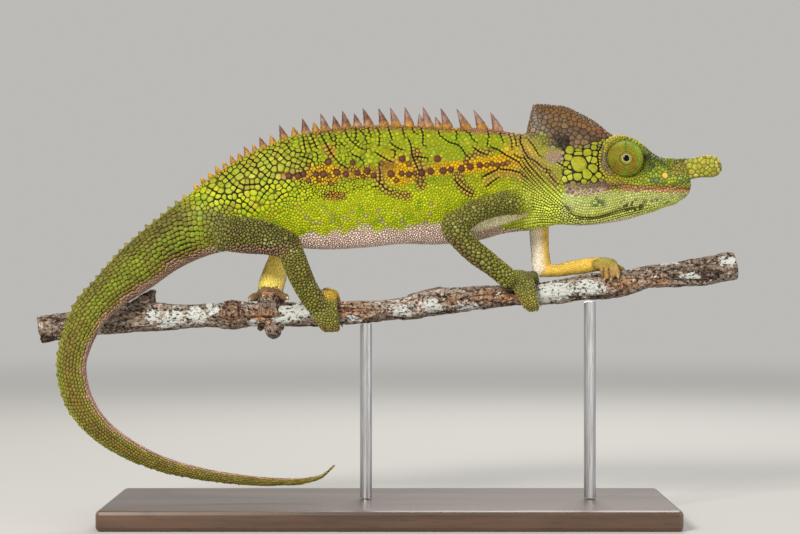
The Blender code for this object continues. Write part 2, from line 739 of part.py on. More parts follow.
def make_limbs():
    for name in LIMBS:
        piece = limb(name)
        cuts = [whole_body("body_space")]
        if name.endswith(("forearm", "shin")):
            upper = name.replace("forearm", "upper_arm").replace("shin", "thigh")
            cuts.append(limb(upper, GAP))
            cuts.append(branch_body("branch_space", GAP))
        for cut in cuts:
            combine(piece, "DIFFERENCE", [cut])
        finish(piece, "near_leg" if name.startswith("right") else "far_leg")


def make_feet():
    for name, foot in FEET.items():
        palm = ellipsoid(name, foot["palm"], foot["size"], 12, 8)
        pieces = []
        for toe in foot["toes"]:
            pieces.extend(toe_pieces(toe))
        combine(palm, "UNION", pieces)
        combine(palm, "DIFFERENCE", [limb_space(foot["limb"])])
        combine(palm, "DIFFERENCE", [branch_body("branch_space", GAP)])
        finish(palm, "near_leg" if name.startswith("right") else "far_leg")


def limb_space(name):
    piece = limb(name, GAP)
    piece.name = "limb_space"
    return piece


def ridge_at(distance):
    """A point of the ridge of the back, with the directions across, tailwards and upwards."""
    middle, forward, side, up = frames_along(BODY, [distance])[0]
    height = smooth_rows(BODY, [distance])[0][4]
    return middle + up * height, side, forward, up


def spine(distance, height):
    """One spine of the crest: a cone that leans towards the tail, narrower from the front."""
    ridge, side, tailwards, up = ridge_at(distance)
    way = (up + tailwards * SPINE_LEAN).normalized()
    foot = SPINE_FOOT + SPINE_FOOT_PART * height
    cone = rod_between("spine", ridge - way * SPINE_ROOT, ridge + way * height, foot, 0.0, 6)
    for vert in cone.data.vertices:
        across = (vert.co - ridge * MM).dot(side)
        vert.co -= side * across * (1 - SPINE_FLATNESS)
    return cone


def crest_of(name):
    """The spines of one length of the body."""
    first, last = (distance_of(BODY, station) for station in BODY_NODES[name][:2])
    if name == "torso":
        at = np.linspace(first, last, 400)
        ridge = [ridge_at(distance)[0].x for distance in at]
        return [spine(float(np.interp(-x, [-r for r in ridge], at)), height) for x, height in CREST]
    count = int((last - first) / TAIL_SPINE_STEP)
    spines = []
    for k in range(count):
        t = (k + 0.5) / count
        tall = TAIL_SPINE_HEIGHT[0] + (TAIL_SPINE_HEIGHT[1] - TAIL_SPINE_HEIGHT[0]) * t
        spines.append(spine(first + (last - first) * t, tall * random.uniform(0.8, 1.2)))
    return spines


def make_body():
    for name in ("neck", "torso", "tail_root", "tail_upper", "tail_middle", "tail_lower", "tail_end"):
        piece = body_piece(name, *BODY_NODES[name])
        if name in ("torso", "tail_root"):
            combine(piece, "UNION", crest_of(name))
        finish(piece, "tail" if name.startswith("tail") else "body")


def make_perch_and_stand():
    finish(branch_body("perch_branch"), "bark")
    bpy.ops.mesh.primitive_cube_add(size=1.0, location=(0, 0, STAND_THICKNESS / 2 * MM))
    base = bpy.context.object
    base.name = base.data.name = "stand_base"
    for vert in base.data.vertices:
        vert.co = Vector((vert.co.x * STAND_LENGTH, vert.co.y * STAND_DEPTH, vert.co.z * STAND_THICKNESS)) * MM
    for owner in list(base.users_collection):
        owner.objects.unlink(base)
    MODEL.objects.link(base)
    bevel = base.modifiers.new("Bevel", "BEVEL")
    bevel.width = STAND_EDGE * MM
    bevel.segments = 2
    finish(base, "wood")
    for name, x in ROD_AT.items():
        top = branch_at(x)[0]
        rod = rod_between(name, (x, 0, STAND_THICKNESS + GAP), (x, 0, top), ROD_RADIUS, ROD_RADIUS, 16)
        combine(rod, "DIFFERENCE", [branch_body("branch_space", GAP)])
        finish(rod, "steel")


random.seed(SEED)
for leftover in list(bpy.data.objects):
    bpy.data.objects.remove(leftover)
MODEL = bpy.data.collections.new("rhinoceros_chameleon")
bpy.context.scene.collection.children.link(MODEL)
make_body()
make_head()
make_eyes()
make_casque_and_horn()
make_limbs()
make_feet()
make_perch_and_stand()
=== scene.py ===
"""Looks of a life-size rhinoceros chameleon model on its branch and display stand.

Tables are in millimetres and meshes in metres. Markings are laid out on a plan of the side
view, the same for both sides: X forwards and Y down, in quarter millimetres.
"""

import math

import bpy
import numpy as np
from bpy.props import FloatProperty, FloatVectorProperty, IntProperty, PointerProperty
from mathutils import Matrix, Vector
from mathutils.bvhtree import BVHTree
from mathutils.kdtree import KDTree


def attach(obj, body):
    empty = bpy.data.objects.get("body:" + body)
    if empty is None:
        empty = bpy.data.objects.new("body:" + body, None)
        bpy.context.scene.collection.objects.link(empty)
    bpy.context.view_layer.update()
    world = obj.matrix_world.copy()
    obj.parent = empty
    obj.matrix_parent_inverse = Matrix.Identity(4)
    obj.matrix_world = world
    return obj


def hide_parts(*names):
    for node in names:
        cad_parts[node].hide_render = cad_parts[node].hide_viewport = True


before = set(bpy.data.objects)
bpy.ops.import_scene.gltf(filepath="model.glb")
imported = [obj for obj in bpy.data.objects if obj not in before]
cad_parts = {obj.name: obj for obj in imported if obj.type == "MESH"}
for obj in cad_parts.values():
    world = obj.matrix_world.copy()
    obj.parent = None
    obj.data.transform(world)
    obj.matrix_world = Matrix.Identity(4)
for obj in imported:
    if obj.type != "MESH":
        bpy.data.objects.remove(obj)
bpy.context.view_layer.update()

bl_info = {
    "name": "Rhinoceros chameleon looks",
    "version": (1, 0, 0),
    "blender": (4, 5, 0),
    "location": "3D View > Sidebar > Chameleon",
    "description": "Skin, scales, crest, eyes, claws, branch and stand of a museum chameleon",
    "category": "Object",
}

MM = 0.001
CAMERA_PLACE = (2.5, -556.0, 63.0)
SENSOR_WIDTH = 36
PLAN_CENTRE = (400, 267)
PLAN_SCALE = 4


def stations(*rows):
    """Rows of a tube's table; one of six numbers has a plain round back and belly."""
    return [row + (1.0, 1.0)[len(row) - 6:] for row in rows]


def pairs(*numbers):
    """Points of a line, from their coordinates one after another."""
    return list(zip(numbers[::2], numbers[1::2]))


# Stations from the snout to the tail tip: x, y, z of the middle line, half width, height
# above the line, depth below it, and how pinched the back and the belly are.
BODY = stations(
    (75.2, 0, 83.2, 0.9, 1.2, 1), (74.2, 0, 83.2, 2, 6.8, 3), (72.5, 0, 83.5, 2.9, 6.5, 4.7),
    (70, 0, 83.6, 3.7, 6.5, 5.6, 0.9, 1), (67, 0, 83.8, 4.4, 6.6, 6.9, 0.85, 1),
    (64.5, 0, 83.8, 4.9, 8.5, 7.6, 0.8, 1), (61.2, 0, 83.8, 5.4, 11, 8.6, 0.8, 1.05),
    (57.5, 0, 83.8, 5.9, 12, 9.5, 0.85, 1.1), (53.8, 0, 83.8, 6.6, 11.9, 10.1, 0.9, 1.1),
    (50, 0, 83.8, 7, 11.8, 10.5, 0.95, 1.1), (46.2, 0, 83.8, 6.9, 11.2, 10.6, 1, 1.1),
    (42.5, 0, 83.8, 6.2, 11, 10.4), (38.8, 0, 83.8, 5.6, 11.6, 11, 1.1, 1),
    (35, 0, 83.8, 5.3, 12.4, 11.8, 1.15, 1), (31.2, 0, 83.5, 5.6, 13.4, 11.8, 1.2, 0.95),
    (26.2, 0, 82.8, 6, 15.2, 11.8, 1.25, 0.9), (20, 0, 81.8, 6.3, 16.2, 12.5, 1.25, 0.85),
    (12.5, 0, 81, 6.5, 17.2, 12.5, 1.25, 0.85), (2.5, 0, 80.8, 6.6, 17.8, 12.2, 1.25, 0.85),
    (-7.5, 0, 80.2, 6.7, 18.2, 12.6, 1.25, 0.85), (-16.2, 0, 80, 6.7, 17.5, 12.8, 1.25, 0.85),
    (-23.8, 0, 79.8, 6.5, 16, 12.2, 1.2, 0.85), (-30.5, 0, 79, 6.1, 13.7, 11.2, 1.15, 0.9),
    (-36.8, 0, 77.8, 5.7, 11.4, 10.8, 1.1, 0.95), (-42, 0, 76.2, 5.3, 9.4, 9.9, 1.05, 1),
    (-46.7, -0.5, 74, 4.8, 7.8, 8.5), (-56, -2, 68.5, 4.3, 6.1, 7), (-63.2, -4.8, 62.5, 3.8, 5.6, 6.3),
    (-69, -8, 57, 3.3, 4.6, 5.1), (-73.2, -10.5, 52, 3, 4.5, 4.5), (-76.3, -12, 45.5, 2.8, 4, 4),
    (-77.7, -12.5, 39.5, 2.65, 3.7, 3.7), (-76.9, -12.5, 33.1, 2.5, 3.6, 3.6),
    (-74.7, -12, 27.9, 2.3, 3.4, 3.4), (-70.9, -11, 23.2, 2.1, 3, 3), (-64.8, -9.5, 18.6, 1.85, 2.6, 2.6),
    (-55.7, -8, 14.3, 1.6, 2.1, 2.1), (-46.4, -7, 11.9, 1.4, 1.7, 1.7), (-36.8, -6, 10.4, 1.25, 1.5, 1.5),
    (-27.2, -5.5, 9.8, 1.1, 1.2, 1.2), (-21.3, -5.2, 10, 0.9, 1, 1), (-16.6, -5, 11.3, 0.7, 0.7, 0.7),
    (-13.4, -5, 14.1, 0.4, 0.4, 0.4),
)
TAIL_START = 25
TAIL_SLANT = 0.35
TAIL_UNDERSIDE = -0.76

CASQUE = stations(
    (57.5, 0, 92.4, 1.8, 2.6, 1.5), (55.5, 0, 92.6, 2.8, 3.4, 2, 1.3, 1),
    (53.2, 0, 92.8, 3.5, 5, 2.2, 1.5, 1), (50, 0, 93, 4, 7.2, 2.4, 1.7, 1),
    (46.2, 0, 93.2, 4.1, 9, 2.5, 1.8, 1), (43.2, 0, 93.4, 3.9, 10.1, 2.5, 1.8, 1),
    (40.5, 0, 93.6, 3.5, 10.3, 2.4, 1.8, 1), (38, 0, 93.8, 2.9, 10.3, 2.2, 1.7, 1),
    (35.2, 0, 94, 1.9, 10.4, 2, 1.5, 1), (33.7, 0, 94.3, 1, 9.9, 1.7, 1.2, 1),
)
HORN = stations(
    (70.5, 0, 87.2, 1.7, 2.4, 2.4), (74, 0, 87.4, 1.8, 2.7, 2.7), (77, 0, 87.9, 1.7, 2.7, 2.7),
    (79.4, 0, 88.2, 1.9, 2.9, 2.9), (81, 0, 88.1, 1.9, 2.75, 2.75), (82, 0, 88, 1.5, 2.2, 2.2),
    (82.5, 0, 88, 0.7, 1.3, 1.3),
)
HORN_DEPTH = 0.22
HORN_SCALE = 1.42
HORN_GAP = 0.024

# Eyes: centre of the left one, size of its cone of lids, and the ball inside.
EYE = (58.3, 4.4, 89.8)
EYE_RADIUS = 4.75
EYE_OUT = 5.0
EYE_IN = 2.0
EYE_TURN = math.radians(-1.5)
EYEBALL_RADIUS = 1.8
EYEBALL_OUT = 3.2
EYEBALL_RINGS = (0.5, 6, 12, 18, 24, 26, 28, 32, 36, 40, 46, 54, 65, 80, 100, 120, 140, 160, 179)
LID_SCALE = 0.30
LID_GAP = 0.02
LID_UNEVEN = 0.07

# Limbs from the body outwards: x, y, z, half depth along y, half thickness seen from the side.
LIMBS = {
    "right_upper_arm": [
        (33.8, -3.2, 79.2, 3, 3.1), (28.4, -6.5, 78.8, 3.1, 3.1), (22.7, -9.2, 77.3, 3, 3),
        (15.6, -11.3, 73.4, 3.2, 3.3),
    ],
    "right_forearm": [
        (15.5, -11.3, 72.3, 3.1, 3.1), (18.6, -10.3, 68.7, 3, 2.9), (22.1, -8.8, 65.7, 2.9, 2.9),
        (25.3, -7.2, 63.4, 2.7, 2.7), (29.2, -5.4, 60.3, 2.5, 2.7),
    ],
    "right_thigh": [
        (-42.3, -3, 71.5, 3.4, 4.5), (-35.8, -6.5, 70.8, 3.8, 4.6), (-29.9, -9.5, 70, 3.6, 4.2),
        (-24.9, -11.2, 68.4, 3.3, 3.5),
    ],
    "right_shin": [
        (-24.4, -11.2, 67.2, 3.2, 3.2), (-22.6, -9.6, 62.3, 3.1, 3.2), (-20.6, -7.4, 57.8, 2.8, 3),
        (-18.4, -5.4, 54.1, 2.5, 3),
    ],
    "left_upper_arm": [
        (37.2, 3.5, 78.6, 2.6, 2.8), (37.6, 6, 73.6, 2.6, 2.7), (38, 7.6, 67.3, 2.5, 2.5),
        (38.5, 8, 62.7, 2.5, 2.6),
    ],
    "left_forearm": [
        (39.3, 8, 62, 2.2, 1.8), (43, 6.8, 62.2, 2.2, 1.8), (45.4, 5.8, 62.7, 2.2, 2),
        (47.9, 4.6, 63.1, 2.2, 2.1), (52.5, 2.4, 63.8, 2, 2),
    ],
    "left_thigh": [
        (-41.3, 3.2, 73.3, 3.4, 4.3), (-35.9, 6.5, 72.4, 3.6, 4.4), (-30.6, 9.5, 71.1, 3.3, 3.8),
        (-27.3, 10.8, 69.7, 3, 3),
    ],
    "left_shin": [
        (-27.3, 10.6, 68.6, 2.8, 2.7), (-28.4, 8.2, 64.3, 2.8, 3), (-29.3, 5.4, 60.7, 2.6, 3.4),
        (-30.1, 3.6, 57.7, 2.5, 3.5),
    ],
}

# Feet: centre of the palm, its half sizes, and the toes. A toe runs round the branch: x at
# its root and tip, the angle from the top of the branch at both, and its radius at both.
FEET = {
    "right_front_foot": ((32, -3.4, 60), (3.4, 2.9, 2.5), [
        (34, 36.4, 35, 145, 1.7, 1), (31.4, 35, 50, 148, 1.8, 1), (33, 33.6, -15, -120, 1.4, 0.95),
        (34.4, 35.6, -15, -125, 1.4, 0.95), (35.8, 37.6, -12, -115, 1.4, 0.95),
    ]),
    "left_front_foot": ((53.8, 0.6, 63.6), (3.4, 2.6, 2), [
        (53, 53.2, 0, 62, 1, 0.85), (54.6, 54.8, 0, 64, 1, 0.85), (56, 56.6, 0, 58, 1, 0.85),
        (55.4, 58.6, -12, -42, 1.2, 0.85), (54, 55.4, -20, -115, 1.3, 0.9),
    ]),
    "right_hind_foot": ((-17, -3.6, 54.6), (3.3, 2.9, 2.9), [
        (-15, -13.3, 35, 150, 1.7, 1.05), (-16.9, -14.6, 45, 152, 1.7, 1.05),
        (-18.9, -16, 55, 150, 1.7, 1.05), (-15.8, -13.6, -5, -112, 1.7, 1),
        (-14.4, -12.4, -10, -120, 1.5, 1),
    ]),
    "left_hind_foot": ((-30.2, 3, 56.6), (3.3, 2.6, 2.4), [
        (-31.8, -32.6, -40, -140, 1.5, 1), (-29.8, -30, -40, -145, 1.5, 1),
        (-27.8, -27.4, -40, -140, 1.5, 1), (-32.6, -34.6, -20, 20, 1.4, 1), (-27.8, -26, -20, 10, 1.4, 1),
    ]),
}
TOE_CLEARANCE = 0.3
CLAW_LENGTH = 1.0

# Spines of the crest: where each stands on the ridge (x) and how far it rises.
CREST = [
    (27, 4.7), (23, 4.8), (19, 5.1), (14.4, 5), (12.2, 2.6), (9.6, 4.9), (7.9, 3), (4.8, 4.6), (1.5, 4.4),
    (-1.5, 4.3), (-5.3, 4.4), (-8.1, 3.1), (-10.9, 4), (-13.4, 3), (-16.2, 3.9), (-18.5, 2.3), (-21, 3.6),
    (-23.7, 2.3), (-26.5, 3.4), (-29.2, 2.1), (-31.6, 2.7), (-33.6, 1.9), (-35.5, 2.4), (-37.3, 1.7),
    (-39.1, 2), (-41, 1.6), (-42.8, 1.8), (-44.6, 1.5), (-46.4, 1.6), (-48.2, 1.4),
]

BRANCH = [
    (-87.5, 47.2, 3.6), (-81, 48.2, 3.6), (-74.5, 49.2, 3.5), (-67.5, 50, 3.8), (-61.2, 50.6, 3.9),
    (-50, 50.6, 3.2), (-43.8, 50.9, 3.2), (-39.5, 50.9, 3.8), (-35, 51, 3.2), (-23.8, 51.1, 3.2),
    (-10, 51.6, 3.1), (3.8, 52.8, 3), (9.5, 54, 3.7), (18, 54.8, 3.4), (25, 55.5, 3.1), (40, 56.6, 3.1),
    (48, 57.7, 3.4), (57.5, 58.6, 3.6), (65, 60.4, 2.9), (72.5, 61.2, 3.4), (79, 62, 3.8),
    (86.5, 63.3, 3.7),
]
BARK_DEPTH = 0.22
BARK_VOXEL = 0.36
TWIG_STUBS = [
    ((-30.4, -1.0, 51.0), (-30.0, -1.4, 56.9), 3.5, 2.7),
    ((-29.4, 0.0, 51.0), (-28.8, -0.4, 45.2), 2.9, 1.9),
    ((-63.4, 0.4, 51.6), (-58.8, 0.9, 57.3), 3.0, 1.35),
]

# Plan of the markings. Round dark spots along the flank: X, Y, radius.
SPOTS = [
    (288.8, 176, 3), (298, 176, 3.2), (303.5, 174, 2.6), (308.4, 180.7, 2.2), (308.5, 165, 2.2),
    (316, 174.5, 2.6), (323.3, 174.3, 3.1), (328.3, 162, 2.9), (319.2, 179.9, 2), (329.3, 176.2, 2),
    (336.8, 172.4, 3.2), (345.9, 174.5, 2.5), (331, 183.6, 2.3), (353.3, 162.3, 2.4), (357.6, 173, 2.6),
    (367.2, 171.3, 3.2), (373.6, 175.4, 2.6), (363.2, 176.6, 2), (382.1, 163.3, 2.3), (391.2, 174, 3.2),
    (396.5, 180.3, 2), (402.4, 158.5, 3.2), (408.8, 163.8, 2.2), (401.9, 173.5, 2.4), (409.3, 174.5, 2.9),
    (415.2, 173.5, 1.9), (421.6, 172.9, 3.1), (430.7, 171.3, 3), (437.6, 158.8, 3.3), (443.5, 170.8, 3.2),
    (451, 169.7, 2.7), (461.7, 168.6, 3), (470.4, 166.8, 3), (466, 162.5, 2.2), (479.9, 165.1, 2.6),
    (486.9, 165.1, 2.3), (492.5, 163.8, 2), (497.7, 165.1, 1.8), (502.9, 164.2, 2), (508.1, 162.9, 2.3),
]
BAND = pairs(280, 176, 310, 175, 340, 173, 375, 173, 405, 172, 430, 170, 460, 167, 490, 164, 520, 161)

# Brown stripes across the flank: the line, its half width, and that of the dark net in it.
STRIPES = [
    (pairs(378, 178, 384, 189, 396, 194, 408, 196), 4.5, 4.5),
    (pairs(416, 152, 419, 165, 421, 185), 5.5, 5.5), (pairs(458, 176, 461, 184, 470, 193), 5.5, 5.5),
    (pairs(468, 158, 478, 152, 490, 153), 4.0, 4.0),
    (pairs(326, 147, 331, 156), 4.0, 3.6), (pairs(327, 195, 342, 196), 4.6, 4.4),
    (pairs(385, 164, 396, 163), 4.0, 0), (pairs(486, 182, 494, 175, 510, 173, 524, 177), 4.0, 0),
]

# Large plates of the temple: X, Y, radius.
TEMPLE_PLATES = [
    (578.2, 163.8, 9.2), (569.8, 149.6, 4.4), (579.4, 148.2, 4.4), (587.6, 152.4, 3.9), (594.6, 147.2, 3),
    (595.6, 153.4, 2.6), (594.8, 160.3, 3.6), (594.6, 168, 4), (599.6, 175.2, 3), (587.5, 175.4, 3.9),
    (577.6, 176.2, 3.8), (567.2, 157, 2.5), (565.4, 164.5, 2.6), (567.2, 171.8, 2.8), (594.2, 180, 2.6),
    (584.6, 182, 2.2),
]
FACE_PLATES = [(665.5, 175.3, 2.6), (553, 148, 3.0)]
PALE_DOTS = [
    (431.5, 204, 1.8), (366, 216, 2), (380, 219, 1.9), (383, 222.5, 1.6), (402, 220.5, 2),
    (358.8, 222, 1.6), (368, 226, 1.7), (387, 227, 1.7), (418, 226, 1.8), (313, 223, 1.8),
    (319.5, 223, 1.9), (307, 218, 1.7), (333, 221, 1.7), (340, 228, 1.6), (348, 219, 1.5), (430, 214, 1.7),
    (426, 221, 1.6), (395, 231, 1.5), (352, 212, 1.5), (378, 211, 1.5), (396, 213, 1.4), (331, 214, 1.4),
    (311, 231, 1.8), (356, 230, 1.5),
]

# Cracks between the plates, where dark skin shows: lines on the plan.
CRACKS = [pairs(*row) for row in (
    (303, 137, 304, 144, 306, 152), (309, 132, 313, 139, 317, 149),
    (320, 133, 326, 144, 331, 153, 335, 158, 340, 164, 347, 168), (328, 131, 332, 140),
    (337, 134, 335, 142, 336, 148), (339, 141, 343, 145),
    (345, 130, 348, 138, 356, 145, 360, 148, 367, 150), (356, 126, 356, 144),
    (361, 131, 366, 137, 367, 143), (368, 128, 370, 134, 373, 138), (377, 128, 380, 134, 379, 146),
    (388, 127, 392, 139), (402, 127, 405, 138), (411, 126, 414, 132, 417, 133),
    (408, 138, 411, 145, 412, 154, 415, 162, 418, 169), (420, 126, 423, 134, 423, 144, 426, 147),
    (438, 130, 440, 136, 449, 142, 459, 145), (375, 152, 381, 156, 388, 160, 393, 162),
    (353, 155, 361, 158, 364, 163), (390, 142, 393, 145, 400, 149, 404, 150),
    (392, 150, 396, 153, 393, 159), (415, 156, 427, 158, 430, 163), (300, 156, 313, 160, 315, 166),
    (316, 152, 319, 158), (308, 143, 315, 145), (372, 187, 379, 186),
    (378, 163, 380, 172, 380, 183, 386, 190, 393, 192), (454, 129, 457, 133, 456, 139),
    (450, 142, 459, 145, 463, 150, 466, 155, 470, 158), (464, 130, 471, 134, 472, 139, 478, 143),
    (488, 131, 489, 137, 487, 146), (473, 147, 480, 152, 488, 155), (498, 128, 501, 136, 504, 143),
    (506, 129, 510, 136, 512, 142, 512, 149), (513, 131, 516, 138, 518, 147),
    (521, 135, 521, 142, 524, 150, 528, 157, 537, 162, 544, 169, 551, 170),
    (527, 138, 533, 145, 539, 155, 542, 157),
    (491, 147, 499, 150, 506, 155, 512, 158, 519, 162, 526, 169, 531, 175),
    (515, 154, 528, 162, 532, 169, 538, 176, 544, 182), (546, 170, 553, 179, 559, 185),
    (557, 162, 562, 165, 570, 169), (483, 177, 492, 172, 499, 169, 511, 170, 521, 173, 527, 179),
    (486, 187, 492, 182, 499, 177), (455, 180, 459, 185, 465, 190, 472, 194),
    (218, 170, 227, 178, 232, 184, 238, 188, 244, 191), (240, 163, 248, 170, 255, 175),
    (249, 158, 257, 164, 261, 171, 267, 177, 275, 180), (261, 152, 267, 158, 272, 165, 279, 168),
    (269, 149, 279, 153, 287, 161, 300, 165, 306, 171), (283, 142, 287, 145, 291, 151, 300, 153, 311, 158),
    (302, 136, 305, 148), (311, 134, 314, 140, 318, 148),
    (208, 187, 217, 193, 223, 195, 232, 194, 244, 192), (223, 198, 217, 200, 208, 203),
    (223, 195, 230, 201, 241, 204, 245, 210, 251, 213), (235, 189, 241, 200, 248, 205, 257, 212),
    (240, 184, 245, 185, 259, 184, 264, 186, 271, 185, 274, 180, 283, 180, 292, 187),
    (270, 187, 264, 194, 260, 200), (276, 200, 281, 195, 287, 192),
    (603, 142, 599, 152, 598, 160, 600, 170, 606, 179),
)]

# Rows of fine scales that run along the neck, throat and jaw: two guide lines on the plan, how
# many rows lie from one to the next, and the extra gap between two rows in millimetres.
GUIDES = [pairs(*row) for row in (
    (524, 150, 530, 160, 537, 168, 545, 177, 554, 186, 562, 195),
    (520, 165, 528, 175, 537, 185, 546, 194, 556, 202, 565, 209),
    (522, 182, 532, 189, 542, 196, 553, 203, 563, 210, 572, 217),
    (524, 198, 535, 201, 546, 205, 557, 210, 568, 216, 578, 220),
    (516, 213, 530, 212, 544, 213, 558, 216, 570, 220, 582, 223),
    (508, 226, 524, 222, 541, 219, 556, 220, 569, 223, 582, 226),
    (498, 238, 518, 233, 536, 229, 552, 227, 566, 227, 580, 229),
)]
JAW_GUIDES = [pairs(*row) for row in (
    (563, 192, 573, 201, 583, 204, 598, 204, 614, 201, 632, 197, 652, 195),
    (566, 206, 574, 215, 584, 218, 598, 217, 614, 212, 630, 208, 650, 204),
    (562, 221, 575, 224, 588, 224, 602, 222, 618, 218, 636, 213, 658, 208),
)]
ROWS = [(a, b, n, 0.034) for a, b, n in zip(GUIDES, GUIDES[1:], (3, 4, 4, 4, 3, 3))]
ROWS += [(JAW_GUIDES[0], JAW_GUIDES[1], 5, 0.02), (JAW_GUIDES[1], JAW_GUIDES[2], 3, 0.038)]
ROW_STEP = 2.5

# Folds pressed into the skin (negative depth) or raised from it: depth in millimetres, half
# width on the plan, and the line.
FOLDS = [
    (-0.42, 1.5, pairs(706, 189.6, 690, 188.8, 670, 188.2, 650, 187.3, 625, 187, 600, 187.2, 582, 188.8,
         571, 192)),
    (0.22, 2.2, pairs(702, 185, 680, 184.6, 655, 183.6, 630, 183.2, 605, 183)),
    (0.22, 2.4, pairs(702, 193.5, 680, 192.6, 655, 191.6, 625, 191.5, 600, 192, 580, 194)),
    (-0.4, 1.8, pairs(566, 206, 573, 214.7, 580, 217.6, 592, 218.4, 604, 216, 615, 212, 627, 209, 640,
         208)),
    (0.3, 3, pairs(572, 223, 590, 224, 610, 222, 630, 218)),
    (-0.35, 2, pairs(483, 178, 491.6, 172, 499.4, 169.4, 510.7, 169.9, 521, 172.9, 528, 180)),
    (-0.3, 1.6, pairs(490.8, 146.9, 505.5, 154.7, 519.4, 161.6, 530.7, 174.6, 536, 184)),
    (-0.3, 1.6, pairs(521, 134.7, 521, 142.5, 528, 157.3, 536.7, 162.5, 550.6, 170.3, 560, 184, 566, 204)),
    (-0.28, 1.5, pairs(515, 153.8, 528, 162.5, 537.6, 175.5, 546, 186, 552, 198)),
    (-0.22, 1.3, pairs(546.3, 170.3, 553.2, 179, 559.3, 188, 562, 200)),
    (-0.25, 1.4, pairs(598, 144, 595, 155, 596.5, 166, 601, 176, 607, 183)),
    (0.3, 2.6, pairs(650, 158, 665, 157.5, 684, 159)),
    (-0.25, 1.8, pairs(602, 140, 585, 143, 560, 141, 545, 136)),
    (-0.2, 1.5, pairs(566, 208, 552, 206, 536, 206, 520, 209)),
    (-0.16, 1.2, pairs(570, 221, 552, 218, 536, 217, 522, 219)),
]
NOSTRIL_PLAN = (670.5, 170.5)
MOUTH_CORNER = pairs(571, 190, 583, 191, 600, 187)
EYE_PLAN = (624, 157.5)

# Upper edge of the pale belly, then the yellow of the flank's band and its reach: X, values.
BELLY_EDGE = ([200, 230, 290, 320, 360, 430, 470, 500, 530, 560],
              [246, 250, 238, 234, 231, 226, 224, 226, 229, 231])
BAND_YELLOW = ([270, 300, 318, 330, 345, 365, 382, 390, 400, 414, 422, 436, 452, 470, 500, 522, 540],
               [0, 0.15, 0.9, 0.95, 0.3, 0.65, 0.1, 0.9, 1, 0.8, 0.15, 0.75, 0.95, 0.95, 1, 0.9, 0])
BAND_REACH = ([280, 300, 325, 345, 380, 400, 415, 425, 450, 480, 510, 530],
              [4, 5, 12, 6, 6, 15, 9, 6, 6, 8, 9, 4])

SEED = 7


def rgb(red, green, blue):
    """A linear colour from 0-255 display values."""
    values = np.array((red, green, blue), dtype=float) / 255
    return np.where(values <= 0.04045, values / 12.92, ((values + 0.055) / 1.055) ** 2.4)


def rgba(red, green, blue):
    return tuple(float(v) for v in rgb(red, green, blue)) + (1.0,)


def size_property(name, description, default, **limits):
    """A number that a user may change; a whole one stays whole."""
    kind = IntProperty if isinstance(default, int) else FloatProperty
    return kind(name=name, description=description, default=default, **limits)


class ChameleonSizes(bpy.types.PropertyGroup):
    """Sizes of the skin, scales and stage."""

    voxel: size_property(
        "Skin detail", "Size of the skin's mesh cells, in millimetres", 0.42, min=0.2, max=1.0
    )
    depth: size_property("Skin depth", "How far the skin lies inside the solids, in millimetres", 0.24)
    samples: size_property("Placing samples", "Points tried while the scales are spread", 260000, min=20000)
    rounds: size_property("Spreading rounds", "How often the scales are spaced out", 4, min=0)
    spread: size_property("Scale size", "Multiplies the size of every scale", 1.0, min=0.5)
    gap: size_property("Gap", "Dark skin between two scales, as a share of the usual", 1.0)
    bark_relief: size_property("Bark relief", "Height of the bark's roughness, in millimetres", 0.32)
    lens: size_property("Lens", "Focal length of the camera, in millimetres", 100.0, unit="CAMERA")
    key_power: size_property("Key light", "Power of the main soft light", 6.6, unit="POWER")
    fill_power: size_property("Fill light", "Power of the fill light", 1.2, unit="POWER")
    rim_power: size_property("Rim light", "Power of the light from behind", 1.6, unit="POWER")


def colour_property(name, description, *values):
    return FloatVectorProperty(
        name=name, description=description, default=rgba(*values), size=4, min=0.0, max=1.0, subtype="COLOR"
    )


class ChameleonColours(bpy.types.PropertyGroup):
    """Main colours of the animal, its branch and the stand."""

    back: colour_property("Back", "Plates of the upper back", 142, 150, 22)
    hips: colour_property("Hips", "Plates over the hips", 152, 154, 40)
    flank: colour_property("Flank", "Bright scales of the flank", 174, 184, 18)
    belly: colour_property("Belly", "Fine scales of the belly", 240, 216, 204)
    tail: colour_property("Tail", "Square scales of the tail", 116, 112, 44)
    tail_under: colour_property("Underside of the tail", "Fine scales under the tail", 178, 144, 124)
    leg: colour_property("Legs", "Beads of the near legs", 126, 124, 52)
    bead: colour_property("Large beads", "Pale large beads of the legs", 168, 168, 104)
    leg_pale: colour_property("Inner arm", "Pale inner side of the arm", 252, 236, 214)
    leg_yellow: colour_property("Inner legs", "Yellow inner side of the legs", 226, 190, 84)
    casque: colour_property("Casque", "Scales of the casque", 106, 82, 54)
    casque_rim: colour_property("Casque rim", "Front rim of the casque", 124, 90, 56)
    spine: colour_property("Spines", "Upper part of the crest's spines", 114, 82, 62)
    spine_root: colour_property("Spine roots", "Foot of the crest's spines", 168, 122, 40)
    eye: colour_property("Lids", "Cone of lids round the eye", 150, 144, 42)
    horn: colour_property("Horn", "Tubercles of the horn", 164, 164, 60)
    claw: colour_property("Claws", "Claws", 176, 150, 104)
    bark: colour_property("Bark", "Grey-brown bark", 132, 115, 100)
    lichen: colour_property("Lichen", "Pale lichen on the bark", 200, 201, 194)
    wood: colour_property("Stand", "Wood of the stand's base", 72, 52, 38)
    floor: colour_property("Floor", "Floor and surroundings", 214, 212, 208)


def colour_of(name):
    return np.array(getattr(bpy.context.scene.chameleon_colours, name)[:3], dtype=float)


# Tubes, fields and noise, worked out on arrays.


def distances(table):
    points = np.array([row[:3] for row in table], dtype=float)
    return np.concatenate([[0.0], np.cumsum(np.linalg.norm(np.diff(points, axis=0), axis=1))])


